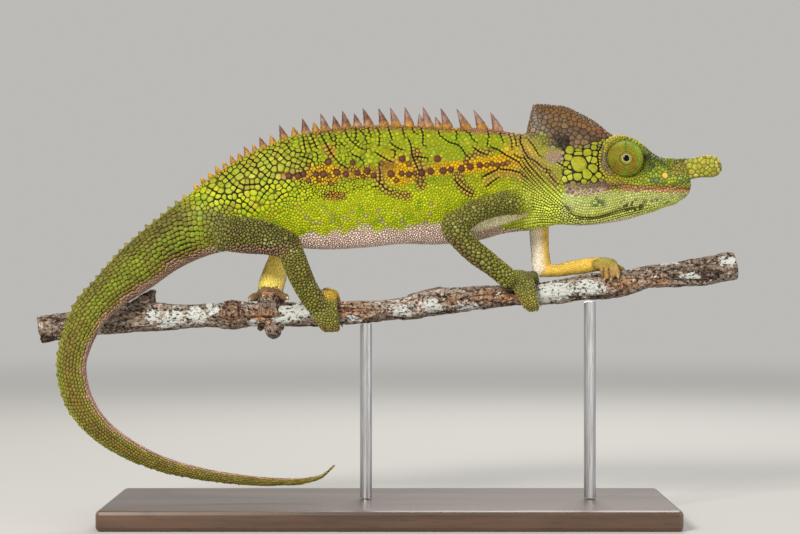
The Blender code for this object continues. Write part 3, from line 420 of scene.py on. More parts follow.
def smooth_rows(table, at):
    """Rows of a table read at distances along its path, on a smooth curve through its stations."""
    rows = np.array(table, dtype=float)
    where = distances(table)
    slopes = np.gradient(rows, where, axis=0)
    at = np.clip(np.asarray(at, dtype=float), where[0], where[-1])
    cell = np.clip(np.searchsorted(where, at, side="right") - 1, 0, len(where) - 2)
    span = where[cell + 1] - where[cell]
    t = ((at - where[cell]) / span)[:, None]
    span = span[:, None]
    return (
        (2 * t**3 - 3 * t**2 + 1) * rows[cell]
        + (t**3 - 2 * t**2 + t) * span * slopes[cell]
        + (3 * t**2 - 2 * t**3) * rows[cell + 1]
        + (t**3 - t**2) * span * slopes[cell + 1]
    )


def turns(sides):
    """Angles of the corners of a ring."""
    return 2 * math.pi * np.arange(sides) / sides


def walked(xs, ys):
    """Length along a flat line from its start to each of its points."""
    return np.concatenate([[0], np.cumsum(np.hypot(np.diff(xs), np.diff(ys)))])


def unit(vectors):
    return vectors / np.maximum(np.linalg.norm(vectors, axis=-1, keepdims=True), 1e-9)


def frames_along(table, at):
    """Middle points and the forward, side and up directions at distances along a path."""
    at = np.asarray(at, dtype=float)
    middle = smooth_rows(table, at)[:, :3]
    forward = unit(smooth_rows(table, at + 0.2)[:, :3] - smooth_rows(table, at - 0.2)[:, :3])
    side = unit(np.array([0.0, 1.0, 0.0]) - forward * forward[:, 1:2])
    return middle, forward, side, np.cross(side, forward)


def tube(table, sides, every, grow, domes):
    """Rings of points round a path: an array of rings by sides, and each ring's distance."""
    length = distances(table)[-1]
    at = np.linspace(0, length, max(3, int(length / every) + 1))
    middle, forward, side, up = frames_along(table, at)
    rows = smooth_rows(table, at)
    size = np.maximum(rows[:, 3:6] + grow, 0.05)
    powers = rows[:, 6:8]
    scale = np.ones(len(at))
    shift = np.zeros(len(at))
    angles = np.radians([80, 65, 50, 35, 18])
    for end, domed in ((0, domes[0]), (-1, domes[1])):
        if not domed:
            continue
        reach = float(size[end].min())
        order = -1 if end else 1
        narrow = [math.cos(a) for a in angles][::order]
        beyond = [math.sin(a) * reach * -order for a in angles][::order]
        extend = lambda values, extra: np.concatenate([extra, values][::order])
        scale, shift = extend(scale, narrow), extend(shift, beyond)
        plain = (at, middle, forward, side, up, size, powers)
        at, middle, forward, side, up, size, powers = (
            extend(v, np.repeat(v[end][None], len(angles), axis=0)) for v in plain
        )
    angle = turns(sides)
    c, s = np.cos(angle)[None, :], np.sin(angle)[None, :]
    above = s > 0
    power = np.where(above, powers[:, :1], powers[:, 1:2])
    across = np.sign(c) * np.abs(c) ** power * size[:, :1] * scale[:, None]
    rise = np.where(above, size[:, 1:2], size[:, 2:3]) * s * scale[:, None]
    points = (
        (middle + forward * shift[:, None])[:, None, :]
        + side[:, None, :] * across[:, :, None]
        + up[:, None, :] * rise[:, :, None]
    )
    return points, at


def tube_faces(rings, sides, start=0):
    """Quads of a tube and the two flat faces that close it."""
    faces = []
    for r in range(rings - 1):
        a, b = start + r * sides, start + (r + 1) * sides
        faces.extend((a + k, b + k, b + (k + 1) % sides, a + (k + 1) % sides) for k in range(sides))
    last = start + (rings - 1) * sides
    faces.append(tuple(start + k for k in range(sides)))
    faces.append(tuple(last + k for k in reversed(range(sides))))
    return faces


def hash_of(cells, seed):
    """A number from 0 to 1 for each cell of a grid."""
    cells = cells.astype(np.int64)
    x, y, z = np.moveaxis(cells, -1, 0)
    mixed = x * 73856093 ^ y * 19349663 ^ z * 83492791 ^ (seed * 2654435761)
    mixed = (mixed ^ (mixed >> 13)) * 1274126177
    return ((mixed ^ (mixed >> 16)) & 0xFFFFFF) / float(0xFFFFFF)


def noise(points, size, seed, octaves=1):
    """Smooth noise from -1 to 1 at points, with bumps of about one size."""
    total, weight, norm = np.zeros(len(points)), 1.0, 0.0
    for octave in range(octaves):
        place = points / (size / 2**octave)
        cell = np.floor(place)
        part = place - cell
        part = part * part * (3 - 2 * part)
        value = np.zeros(len(points))
        for corner in range(8):
            offset = np.array([corner & 1, corner >> 1 & 1, corner >> 2 & 1])
            share = np.prod(np.where(offset, part, 1 - part), axis=1)
            value += share * hash_of(cell + offset, seed + octave * 17)
        total += (value * 2 - 1) * weight
        norm += weight
        weight *= 0.5
    return total / norm


def step(low, high, values):
    """0 below low, 1 above high and smooth between; low may be above high."""
    t = np.clip((values - low) / (high - low), 0, 1)
    return t * t * (3 - 2 * t)


def plan_of(points):
    """Where points lie on the plan of the side view, the same for both sides."""
    camera_x, away, camera_z = CAMERA_PLACE
    k = PLAN_SCALE * (away / (away + np.abs(points[:, 1])))
    x = PLAN_CENTRE[0] + k * (points[:, 0] - camera_x)
    return np.stack([x, PLAN_CENTRE[1] - k * (points[:, 2] - camera_z)], axis=1)


def line_distance(plan, line):
    """Distance of points on the plan from a line."""
    best = np.full(len(plan), 1e9)
    for (ax, ay), (bx, by) in zip(line, line[1:]):
        way = np.array([bx - ax, by - ay], dtype=float)
        t = np.clip(((plan[:, 0] - ax) * way[0] + (plan[:, 1] - ay) * way[1]) / (way @ way), 0, 1)
        dx, dy = plan[:, 0] - ax - t * way[0], plan[:, 1] - ay - t * way[1]
        best = np.minimum(best, np.hypot(dx, dy))
    return best


def near_line(plan, line, margin):
    """Which points on the plan lie in the box round a line, or close to it."""
    low, high = np.min(line, axis=0) - margin, np.max(line, axis=0) + margin
    return ((plan > low) & (plan < high)).all(axis=1)


def spot(plan, x, y, rx, ry=None, soft=0.35):
    """1 inside an ellipse on the plan, fading out at its edge."""
    away = np.hypot((plan[:, 0] - x) / rx, (plan[:, 1] - y) / (ry or rx))
    return step(1 + soft, 1 - soft, away)


def paint(base, colour, mask):
    return base + (np.asarray(colour) - base) * np.clip(mask, 0, 1)[:, None]


class Coat:
    """A colour for each of some points, on which more colours are laid through masks."""

    def __init__(self, values, count=None):
        self.values = values if count is None else np.tile(colour_of(values), (count, 1))

    def over(self, colour, mask):
        self.values = paint(self.values, colour, mask)

    def lay(self, red, green, blue, mask):
        self.over(rgb(red, green, blue), mask)

    def shade(self, factor, mask):
        self.over(self.values * factor, mask)


# Parts of the skin, and the shape that they share.


def branch_at(x):
    xs, zs, radii = zip(*BRANCH)
    return float(np.interp(x, xs, zs)), float(np.interp(x, xs, radii))


def toe_table(toe):
    """Stations of a toe that curls round the branch."""
    x_root, x_tip, angle_root, angle_tip, r_root, r_tip = toe
    table = []
    for k in range(6):
        t = k / 5
        x = x_root + (x_tip - x_root) * t
        radius = r_root + (r_tip - r_root) * t
        angle = math.radians(angle_root + (angle_tip - angle_root) * t)
        z, branch_radius = branch_at(x)
        reach = branch_radius + TOE_CLEARANCE + radius * 0.9
        table.append((x, -math.sin(angle) * reach, z + math.cos(angle) * reach, radius, radius, radius, 1, 1))
    return table


def flesh_tables():
    """Every tube of the flesh: name, table, sides, domed ends and how far inside it lies."""
    depth = bpy.context.scene.chameleon_sizes.depth
    tubes = [("body", BODY, 72, (False, True), depth), ("casque", CASQUE, 48, (False, False), depth)]
    for name, rows in LIMBS.items():
        table = [(*row[:3], row[3], row[4], row[4], 1, 1) for row in rows]
        lower = name.endswith(("forearm", "shin"))
        tubes.append((name, table, 36, (lower, True), depth))
    for name, (palm, size, toes) in FEET.items():
        x, y, z = palm
        flat = []
        for t in np.sin(np.linspace(-math.pi / 2, math.pi / 2, 11)):
            wide, thick = (max(0.15, v * math.sqrt(max(0, 1 - t * t))) for v in size[1:])
            flat.append((x + size[0] * t, y, z, wide, thick, thick, 1, 1))
        tubes.append((name, flat, 28, (False, False), depth * 0.8))
        for number, toe in enumerate(toes):
            tubes.append((f"{name}.toe{number}", toe_table(toe), 20, (True, True), depth * 0.6))
    return tubes


class Surface:
    """A closed skin: its points and normals, and which tube lies under each point."""

    def __init__(self):
        self.names = []

    def read(self, mesh, label, along, around):
        self.points, self.normals = read_points(mesh)
        self.label, self.along, self.around = label, along, around
        self.faces = [tuple(polygon.vertices) for polygon in mesh.polygons]
        self.tree = BVHTree.FromPolygons(self.points.tolist(), self.faces)


SKIN = Surface()


def new_object(name, mesh):
    obj = bpy.data.objects.new(name, mesh)
    bpy.context.scene.collection.objects.link(obj)
    return obj


def mesh_from(name, points, faces):
    mesh = bpy.data.meshes.new(name)
    mesh.from_pydata((np.asarray(points) * MM).tolist(), [], faces)
    return mesh


def read_points(mesh):
    """Points of a mesh in millimetres and its normals."""
    count = len(mesh.vertices)
    points, normals = np.empty(count * 3), np.empty(count * 3)
    mesh.vertices.foreach_get("co", points)
    mesh.vertex_normals.foreach_get("vector", normals)
    return points.reshape(-1, 3) / MM, normals.reshape(-1, 3)


def write_points(mesh, points):
    mesh.vertices.foreach_set("co", (points * MM).ravel())
    mesh.update()


def colour_attribute(mesh, name, values):
    layer = mesh.attributes.new(name, "FLOAT_COLOR", "POINT")
    layer.data.foreach_set("color", np.column_stack([values, np.ones(len(values))]).ravel())


def number_attribute(mesh, name, values):
    mesh.attributes.new(name, "FLOAT", "POINT").data.foreach_set("value", np.asarray(values, dtype=float))


def baked(obj, *modifiers):
    """Applies modifiers given as (type, settings) and leaves a plain mesh."""
    for kind, settings in modifiers:
        modifier = obj.modifiers.new(kind.title(), kind)
        for key, value in settings.items():
            setattr(modifier, key, value)
    graph = bpy.context.evaluated_depsgraph_get()
    mesh = bpy.data.meshes.new_from_object(obj.evaluated_get(graph))
    obj.modifiers.clear()
    old, obj.data = obj.data, mesh
    bpy.data.meshes.remove(old)
    mesh.name = obj.name
    return mesh


def skin_relief(points, normals, label, plan):
    """How far the skin rises or sinks at each point, in millimetres."""
    relief = noise(points, 2.6, 3, 2) * 0.05
    body = np.isin(label, [SKIN.names.index(n) for n in ("body", "casque")])
    sideways = step(0.15, 0.5, np.abs(normals[:, 1])) * body
    for depth, width, line in FOLDS:
        chosen = np.flatnonzero(near_line(plan, line, 6) & (sideways > 0))
        away = line_distance(plan[chosen], line)
        relief[chosen] += depth * np.exp(-((away / width) ** 2)) * sideways[chosen]
    eye_plan = plan_of(np.array([[EYE[0], EYE[1] + 3, EYE[2]]]))[0]
    away = np.hypot(plan[:, 0] - eye_plan[0], plan[:, 1] - eye_plan[1])
    relief += (0.55 * np.exp(-(((away - 21.4) / 2.0) ** 2)) - 0.35 * step(19.6, 18.2, away)) * sideways
    nostril = np.hypot(plan[:, 0] - NOSTRIL_PLAN[0], plan[:, 1] - NOSTRIL_PLAN[1])
    rim, hollow = np.exp(-(((nostril - 4) / 1.3) ** 2)), np.exp(-((nostril / 1.9) ** 2))
    relief += (0.12 * rim - 0.7 * hollow) * sideways
    return relief


def build_skin():
    """Joins the tubes of flesh, closes them into one skin and presses the folds into it."""
    sizes = bpy.context.scene.chameleon_sizes
    points, faces, marks = [], [], []
    start = 0
    SKIN.names = []
    for name, table, sides, domes, depth in flesh_tables():
        rings, at = tube(table, sides, 0.6, -depth, domes)
        count = len(rings)
        faces.extend(tube_faces(count, sides, start))
        points.append(rings.reshape(-1, 3))
        SKIN.names.append(name)
        ring, turn = np.meshgrid(at, turns(sides), indexing="ij")
        number = np.full(count * sides, len(SKIN.names) - 1)
        marks.append(np.column_stack([number, ring.ravel(), turn.ravel()]))
        start += count * sides
    points, marks = np.concatenate(points), np.concatenate(marks)
    obj = new_object("skin", mesh_from("skin", points, faces))
    mesh = baked(
        obj,
        ("REMESH", {"mode": "VOXEL", "voxel_size": sizes.voxel * MM, "use_smooth_shade": True}),
        ("SMOOTH", {"factor": 0.5, "iterations": 5}),
    )
    finder = finder_of(points)
    place, normals = read_points(mesh)
    nearest = np.array([finder.find(point)[1] for point in place])
    label, along, around = marks[nearest].T
    label = label.astype(int)
    place = place + normals * skin_relief(place, normals, label, plan_of(place))[:, None]
    write_points(mesh, place)
    SKIN.read(mesh, label, along, around)
    return obj


class Field:
    """What is known about some points of the skin."""

    def __init__(self, points, normals, nearest):
        self.points, self.normals = points, normals
        self.label, self.along, self.around = SKIN.label[nearest], SKIN.along[nearest], SKIN.around[nearest]
        self.plan = plan_of(points)
        self.up = np.sin(self.around)
        self.named = {name: self.label == k for k, name in enumerate(SKIN.names)}

    def limb(self, *words):
        mask = np.zeros(len(self.points), dtype=bool)
        for name, part in self.named.items():
            if all(word in name for word in words):
                mask |= part
        return mask

    def leg(self, *words):
        """A share of each point in some of the legs, which melt into the body at their roots."""
        upper = self.limb("upper_arm") | self.limb("thigh")
        melt = np.where(upper, step(0.8, 6.5, self.along), 1.0)
        return self.limb(*words) * melt

    def outer(self):
        """1 on the outer sides of the left legs, which look like the right ones."""
        return self.limb("left") * step(-0.35, 0.2, self.normals[:, 1])


def tail_distance():
    return float(distances(BODY)[TAIL_START])


def areas(field):
    """Shares of each point in the main areas of the body."""
    x, y = field.plan.T
    body = field.named["body"]
    tail = body * step(tail_distance() - 3, tail_distance() + 4, field.along)
    head = body * step(560, 572, x + (y - 190) * 0.15)
    belly_edge = np.interp(x, *BELLY_EDGE)
    wander = noise(field.points, 3.2, 5, 2) * 7
    belly = body * (1 - tail) * step(-3, 4, y - belly_edge + wander) * step(540, 515, x)
    return body, tail, head, belly


def on_casque(field):
    """1 on the brown part of the casque, 0 on the head and below the casque's lower line."""
    x, y = field.plan.T
    line = np.interp(x, [528, 545, 556, 570, 590, 606], [130, 135, 141, 147, 147, 139])
    return field.named["casque"] * step(1.5, -1.0, y - line)


def temple_zone(field):
    """1 among the large plates of the temple."""
    x, y = field.plan.T
    return field.named["body"] * step(560, 564, x) * step(603, 600, x) * step(142, 145, y) * step(185, 182, y)


def pad(field):
    """1 on the smooth pads of the near feet."""
    hind = field.limb("right_hind_foot") * spot(field.plan, 333, 292, 12, 9)
    return hind + field.limb("right_front_foot") * spot(field.plan, 532, 272, 10, 7)


def tail_size(along):
    """Width of the scales round the tail, in millimetres."""
    return np.interp(along, tail_distance() + np.array([0, 25, 60, 125]), [1.3, 1.1, 0.82, 0.52])


# Distance from bead to bead on the legs, in quarter millimetres.
LEG_SIZES = (
    ("right", "thigh", 3.1), ("right", "shin", 3.2), ("right", "upper_arm", 3.4), ("right", "forearm", 4.0),
    ("left", "thigh", 2.8), ("left", "shin", 2.2), ("left", "upper_arm", 2.2), ("left", "forearm", 2.1),
    ("right", "foot", 3.0), ("left", "foot", 2.0), ("left", "toe", 2.1),
)


def spacing(field):
    """Distance from scale to scale on the plan's measure, in quarter millimetres."""
    x, y = field.plan.T
    body, tail, head, belly = areas(field)
    upper = step(215, 150, y)
    hips = step(320, 250, x)
    d = 2.5 + 1.2 * upper + (3.0 * hips * step(225, 195, y))
    d -= 0.9 * spot_band(field.plan, BAND, 8) * step(276, 300, x)
    d = np.where(body, d, 3.2)
    neck = body * step(505, 530, x)
    d += (2.7 - d) * neck
    d += (2.35 - d) * belly
    throat = neck * step(205, 222, y)
    d += (2.25 - d) * throat
    # The head: fine on the jaw, coarser on the snout and temple.
    jaw = head * step(189, 193, y)
    d += (2.3 - d) * jaw
    snout = head * step(640, 655, x) * step(186, 182, y)
    d += (3.5 - d) * snout
    temple = head * step(188, 182, y) * step(655, 640, x)
    d += (3.1 - d) * temple
    d += (5.2 - d) * temple_zone(field)
    lips = head * spot_band(field.plan, FOLDS[0][2], 4.5)
    d += (3.3 - d) * lips
    eye_ring = np.hypot(x - EYE_PLAN[0], y - EYE_PLAN[1])
    d += (2.6 - d) * head * step(27, 25, eye_ring)
    # The casque: plates inside, fine at its rims.
    casque = on_casque(field)
    d += (2.6 - d) * field.named["casque"]
    d += (5.2 - d) * casque
    rim = casque * step(0.8, 0.93, field.up)
    d += (2.6 - d) * rim
    # The tail, whose underside is fine.
    under = tail * step(-0.6, -0.8, field.up)
    d += (tail_size(field.along) * PLAN_SCALE - d) * tail
    d += (2.2 - d) * under
    for side, part, size in LEG_SIZES:
        d += (size - d) * field.leg(side, part)
    d += (3.2 - d) * field.leg("left") * field.outer()
    wrist = field.limb("right", "forearm") * step(500, 520, x)
    d += (2.5 - d) * wrist
    d += (2.0 - d) * pad(field)
    ridge = body * (1 - tail) * (1 - head) * step(0.93, 0.985, field.up)
    d += (2.8 - d) * ridge
    hip = spot(field.plan, 206, 226, 22, 26, 0.3) * (1 - tail) * (body | field.limb("right_thigh"))
    d += (4.0 - d) * hip
    return d * bpy.context.scene.chameleon_sizes.spread


def spot_band(plan, line, width):
    return step(width * 1.35, width * 0.65, line_distance(plan, line))


class Ground:
    """What the markings share about some points: areas of the body, and noise of three sizes."""

    def __init__(self, field):
        plan, points = field.plan, field.points
        x = plan[:, 0]
        body, self.tail, self.head, self.belly = areas(field)
        self.body = np.maximum(body, (field.limb("arm") | field.limb("thigh")) * (1 - field.leg("")))
        self.face = self.body * step(556, 566, x)
        self.casque = on_casque(field)
        self.coarse = noise(points, 9.0, 11, 2)
        self.fine = noise(points, 1.8, 12)
        self.lively = noise(points, 0.9, 13)
        self.yellow, reach = np.interp(x, *BAND_YELLOW), np.interp(x, *BAND_REACH)
        away = line_distance(plan, BAND)
        self.band = step(reach * 1.25, reach * 0.7, away) * step(276, 284, x) * step(532, 516, x)
        # The armpit: its own pale pink, lightened further as painted light against the shade under the arm;
        # less so on the far side.
        armpit = spot_band(plan, pairs(476, 227, 490, 223, 508, 218, 524, 212), 5) * field.named["body"]
        self.armpit = armpit * np.where(points[:, 1] < 0, 1.0, 0.4)


def torso_tone(field, ground):
    """Olive green on the back, bright yellow-green lower down, pale on the belly."""
    plan, points = field.plan, field.points
    x, y = plan.T
    body, belly = ground.body, ground.belly
    coarse, fine, lively = ground.coarse, ground.fine, ground.lively
    tone = Coat("back", len(x))
    tone.over(colour_of("hips"), step(330, 260, x) * step(205, 190, y))
    tone.over(colour_of("flank"), step(172, 198, y + coarse * 10) * (1 - 0.35 * step(280, 220, x)))
    tone.lay(176, 154, 20, step(0.25, 0.75, coarse) * 0.45 * step(230, 205, y))
    tone.lay(112, 148, 20, step(0.1, 0.6, fine) * 0.5)
    tone.lay(192, 190, 60, step(0.35, 0.9, lively) * 0.3)
    tone.lay(150, 124, 44, step(0.15, 0.6, noise(points, 2.6, 14)) * step(330, 270, x) * 0.45)
    tone.lay(114, 112, 60, spot(plan, 208, 234, 34, 26, 0.3) * (1 - ground.tail) * 0.9)
    ridge = step(0.9, 0.985, field.up)
    tone.lay(142, 98, 62, ridge * step(292, 320, x) * step(520, 500, x) * 0.85)
    tone.lay(170, 122, 34, ridge * step(-0.1, 0.5, fine) * step(430, 440, x) * step(500, 480, x) * 0.8)
    tone.lay(156, 112, 88, spot_band(plan, pairs(470, 128, 505, 130, 528, 138), 5) * 0.7)
    # The band of spots along the flank.
    band, yellow = ground.band, ground.yellow
    tone.lay(126, 92, 72, band * (1 - yellow) * 0.9)
    tone.lay(206, 164, 10, band * yellow * 0.92)
    tone.lay(206, 158, 40, spot(plan, 515, 168, 20, 8) * 0.5 + spot(plan, 520, 150, 18, 9) * 0.55)
    shoulder = spot_band(plan, pairs(526, 152, 545, 166, 556, 178), 6)
    tone.lay(196, 132, 44, shoulder * 0.45 * step(-0.3, 0.4, fine))
    for line, width, _ in STRIPES:
        tone.lay(170, 138, 52, spot_band(plan, line, width) * 0.75)
    for dx, dy, rx, ry in ((388, 165, 8, 5), (420, 177, 5, 7), (349, 171, 6, 5), (412, 160, 4, 6)):
        tone.lay(112, 78, 34, spot(plan, dx, dy, rx, ry) * step(-0.5, 0.2, lively) * 0.7)
    for sx, sy, sr in SPOTS:
        ring = np.hypot(x - sx, y - sy)
        bright = np.interp(sx, [300, 345, 380, 425, 440], [0.8, 0.5, 0.6, 0.35, 1.0])
        tone.lay(214, 160, 30, step(sr + 2.6, sr + 0.6, ring) * 0.7 * bright)
        tone.lay(80, 39, 40, step(sr + 0.2, sr - 0.8, ring) * (0.95 if sr > 2.3 else 0.75))
    tone.lay(196, 128, 40, spot(plan, 335, 196, 6, 4.5) * 0.6 + spot(plan, 331, 150, 5, 6) * 0.5)
    dots = step(0.62, 0.8, noise(points, 1.25, 21)) * step(203, 226, y + coarse * 5)
    tone.lay(176, 146, 132, dots * step(300, 310, x) * step(470, 450, x))
    for px, py, pr in PALE_DOTS:
        tone.lay(184, 150, 140, step(pr + 0.4, pr - 0.4, np.hypot(x - px, y - py)) * body * 0.8)
    tone.over(colour_of("belly"), belly * (0.9 + 0.1 * lively))
    tone.lay(210, 184, 140, belly * step(455, 500, x) * 0.6)
    # Painted light: the armpit lighter than its own pale pink, where the arm shades it.
    tone.lay(255, 240, 196, ground.armpit * (0.9 + 0.1 * lively))
    return tone


def mark_neck(field, ground, tone):
    """The neck and throat."""
    plan, body, coarse = field.plan, ground.body, ground.coarse
    x, y = plan.T
    neck = body * step(502, 535, x) * (1 - ground.head)
    tone.lay(160, 150, 66, neck * 0.65)
    tone.lay(178, 136, 50, neck * step(0.0, 0.6, coarse) * step(190, 165, y) * 0.7)
    throat = (1 - ground.armpit) * body * step(510, 540, x) * step(178, 205, y) * step(600, 570, x)
    tone.lay(216, 230, 84, throat * 0.85)
    tone.lay(140, 96, 70, spot_band(plan, pairs(524, 150, 534, 162, 550, 172, 556, 184), 2.6) * 0.55)
    tone.lay(164, 164, 132, spot_band(plan, pairs(480, 241, 520, 233, 560, 229, 572, 226), 3) * 0.6)


def mark_head(field, ground, tone):
    """The snout, lips, temple and jaw."""
    plan, points = field.plan, field.points
    x, y = plan.T
    body, face = ground.body, ground.face
    coarse, fine, lively = ground.coarse, ground.fine, ground.lively
    tone.lay(162, 164, 50, face * step(188, 184, y) * 0.9)
    snout = face * step(638, 650, x) * step(186, 180, y)
    tone.lay(104, 128, 40, snout * (0.6 + 0.4 * fine))
    tone.lay(150, 148, 52, snout * step(0.0, 0.5, coarse) * 0.7)
    tone.lay(84, 92, 72, snout * step(0.05, 0.4, noise(points, 1.3, 15)) * 0.75)
    tone.shade(0.7, snout * step(170, 164, y) * step(685, 675, x))
    tone.lay(150, 132, 64, snout * spot(plan, 682, 168, 12, 8) * 0.6)
    # Lower part of the snout lighter: painted light against the shade that falls there.
    tone.shade(1.35, snout * step(170, 178, y))
    eye_ring = np.hypot(x - EYE_PLAN[0], y - EYE_PLAN[1])
    tone.lay(164, 152, 42, face * step(31, 28, eye_ring) * step(640, 620, x) * step(187, 180, y) * 0.85)
    tone.lay(124, 104, 96, body * step(23.5, 21.5, eye_ring) * step(618, 606, x) * step(148, 156, y) * 0.8)
    brow = body * step(25, 23.5, eye_ring) * step(20, 21.5, eye_ring) * step(150, 142, y)
    tone.lay(186, 182, 92, brow * 0.6)
    tone.lay(196, 202, 124, face * step(190, 194, y) * (0.8 + 0.2 * fine))
    tone.lay(156, 194, 108, face * step(190, 193, y) * step(208, 198, y) * step(0.0, 0.7, coarse) * 0.6)
    tone.lay(204, 212, 100, face * step(206, 214, y + (x - 600) * 0.12) * 0.85)
    tone.lay(112, 80, 70, spot_band(plan, pairs(570, 189, 585, 189, 604, 186), 6.0) * (0.85 + 0.15 * lively))
    tone.lay(132, 92, 76, face * spot_band(plan, pairs(604, 186, 624, 186), 3.2) * 0.75)
    tone.lay(178, 124, 88, face * spot_band(plan, pairs(624, 188, 660, 188.6, 694, 190), 2.7) * 0.9)
    tone.lay(206, 176, 140, face * spot_band(plan, pairs(600, 191, 640, 191.5, 694, 193.5), 1.2) * 0.45)
    flecks = noise(points, 0.7, 17)
    tone.lay(36, 44, 30, face * spot(plan, 632, 206, 13, 7, 0.5) * step(0.05, 0.2, flecks) * 0.9)
    tone.lay(52, 84, 56, face * spot(plan, 598, 203, 7, 6, 0.5) * step(0.05, 0.2, flecks) * 0.8)
    tone.lay(36, 44, 30, face * spot(plan, 660, 201, 16, 3, 0.5) * step(0.3, 0.4, flecks) * 0.7)
    fringe = face * spot_band(plan, pairs(646, 156, 664, 158, 690, 158.5), 3.2)
    tone.lay(60, 62, 48, fringe * step(-0.3, 0.2, fine) * 0.75)
    tone.lay(160, 162, 130, fringe * step(0.8, 0.95, field.up) * step(0.2, 0.5, lively) * 0.4)
    # A dark line along the upper lip's edge: painted shade of the slit under the lip.
    tone.lay(50, 56, 50, face * spot_band(plan, pairs(650, 182.6, 672, 183.6, 686, 183), 1.3) * 0.6)
    tone.lay(214, 198, 178, spot_band(plan, pairs(575, 226, 600, 225, 622, 221, 640, 217), 2.4) * 0.85)
    # Dark along the pressed fold of the lower jaw: painted shade in the crease.
    fold = line_distance(plan, FOLDS[3][2])
    tone.lay(60, 66, 24, body * step(1.7, 0.4, fold) * 0.85)
    # A bright yellow spot on the tubercle by the nostril: painted highlight.
    tone.lay(232, 202, 92, spot(plan, 665.5, 175.3, 3.6))
    tone.lay(112, 100, 84, spot_band(plan, pairs(529, 132, 536, 136, 552, 146), 3.5) * 0.7)
    tone.lay(156, 128, 114, spot(plan, 556, 157, 11, 6.5) * 0.85)
    tone.lay(104, 94, 74, spot_band(plan, pairs(548, 142, 570, 149, 600, 147), 3.4) * 0.8)
    for px, py, pr in TEMPLE_PLATES:
        tone.lay(148, 150, 32, step(pr + 1.5, pr, np.hypot(x - px, y - py)) * 0.9)


def mark_casque(field, ground, tone):
    """The brown casque and the dark skin under its lower line."""
    plan, fine, lively = field.plan, ground.fine, ground.lively
    brown = Coat("casque", len(plan))
    brown.lay(132, 106, 74, step(0.0, 0.7, fine) * 0.6)
    front = spot_band(plan, pairs(548, 105, 566, 108, 585, 119, 600, 131, 612, 139), 6.5)
    brown.over(colour_of("casque_rim"), front * 0.85)
    brown.lay(140, 90, 62, spot(plan, 601, 131, 8, 6) * 0.5)
    rear = spot_band(plan, pairs(533, 138, 532, 118, 535, 104, 552, 103, 572, 109, 598, 126), 2.8)
    brown.lay(130, 112, 94, rear * 0.75)
    brown.lay(72, 62, 58, spot_band(plan, pairs(556, 134, 580, 133, 604, 138), 4.2) * 0.5)
    brown.lay(118, 106, 94, spot(plan, 540, 128, 12, 16) * step(-0.3, 0.4, fine) * 0.7)
    brown.lay(146, 132, 120, spot(plan, 538, 130, 7, 14) * step(0.3, 0.6, lively) * 0.6)
    tone.over(brown.values, ground.casque)
    tone.lay(140, 136, 56, spot(plan, 541, 142, 8, 9) * (0.75 + 0.2 * fine))
    tone.lay(26, 26, 30, spot(plan, 563, 142, 9, 6.5) * step(-0.7, -0.1, lively) * 0.9)


def mark_tail(field, ground, tone):
    """The tail: olive green, pink under it, tan towards its end."""
    points, coarse, fine = field.points, ground.coarse, ground.fine
    t = np.clip((field.along - tail_distance()) / 125, 0, 1)
    tail_tone = Coat("tail", len(points))
    tail_tone.lay(138, 142, 44, step(-0.1, 0.6, coarse) * 0.5)
    tail_tone.lay(98, 88, 44, step(0.1, 0.6, noise(points, 3.0, 16, 2)) * 0.6)
    green = step(0.55, 0.1, field.up) * step(-0.65, -0.2, field.up)
    tail_tone.lay(138, 156, 38, green * step(0.42, 0.2, t) * (0.5 + 0.4 * fine))
    tail_tone.lay(134, 108, 48, step(0.6, 0.35, np.abs(field.up - 0.15)) * step(0.22, 0.4, t) * 0.5)
    tail_tone.lay(150, 154, 56, step(0.45, 0.8, np.abs(field.up - 0.1)) * step(0.2, 0.4, t) * 0.6)
    tail_tone.lay(132, 118, 56, step(0.55, 0.85, t) * 0.7)
    edge = field.up + 0.12 * fine + 0.1 * coarse
    tail_tone.lay(156, 116, 60, step(-0.5, -0.72, edge) * 0.45)
    tail_tone.over(colour_of("tail_under"), step(-0.68, -0.88, edge))
    tail_tone.values *= (1 - 0.13 * step(0.55, 0.3, t))[:, None]
    tone.over(tail_tone.values, ground.tail)


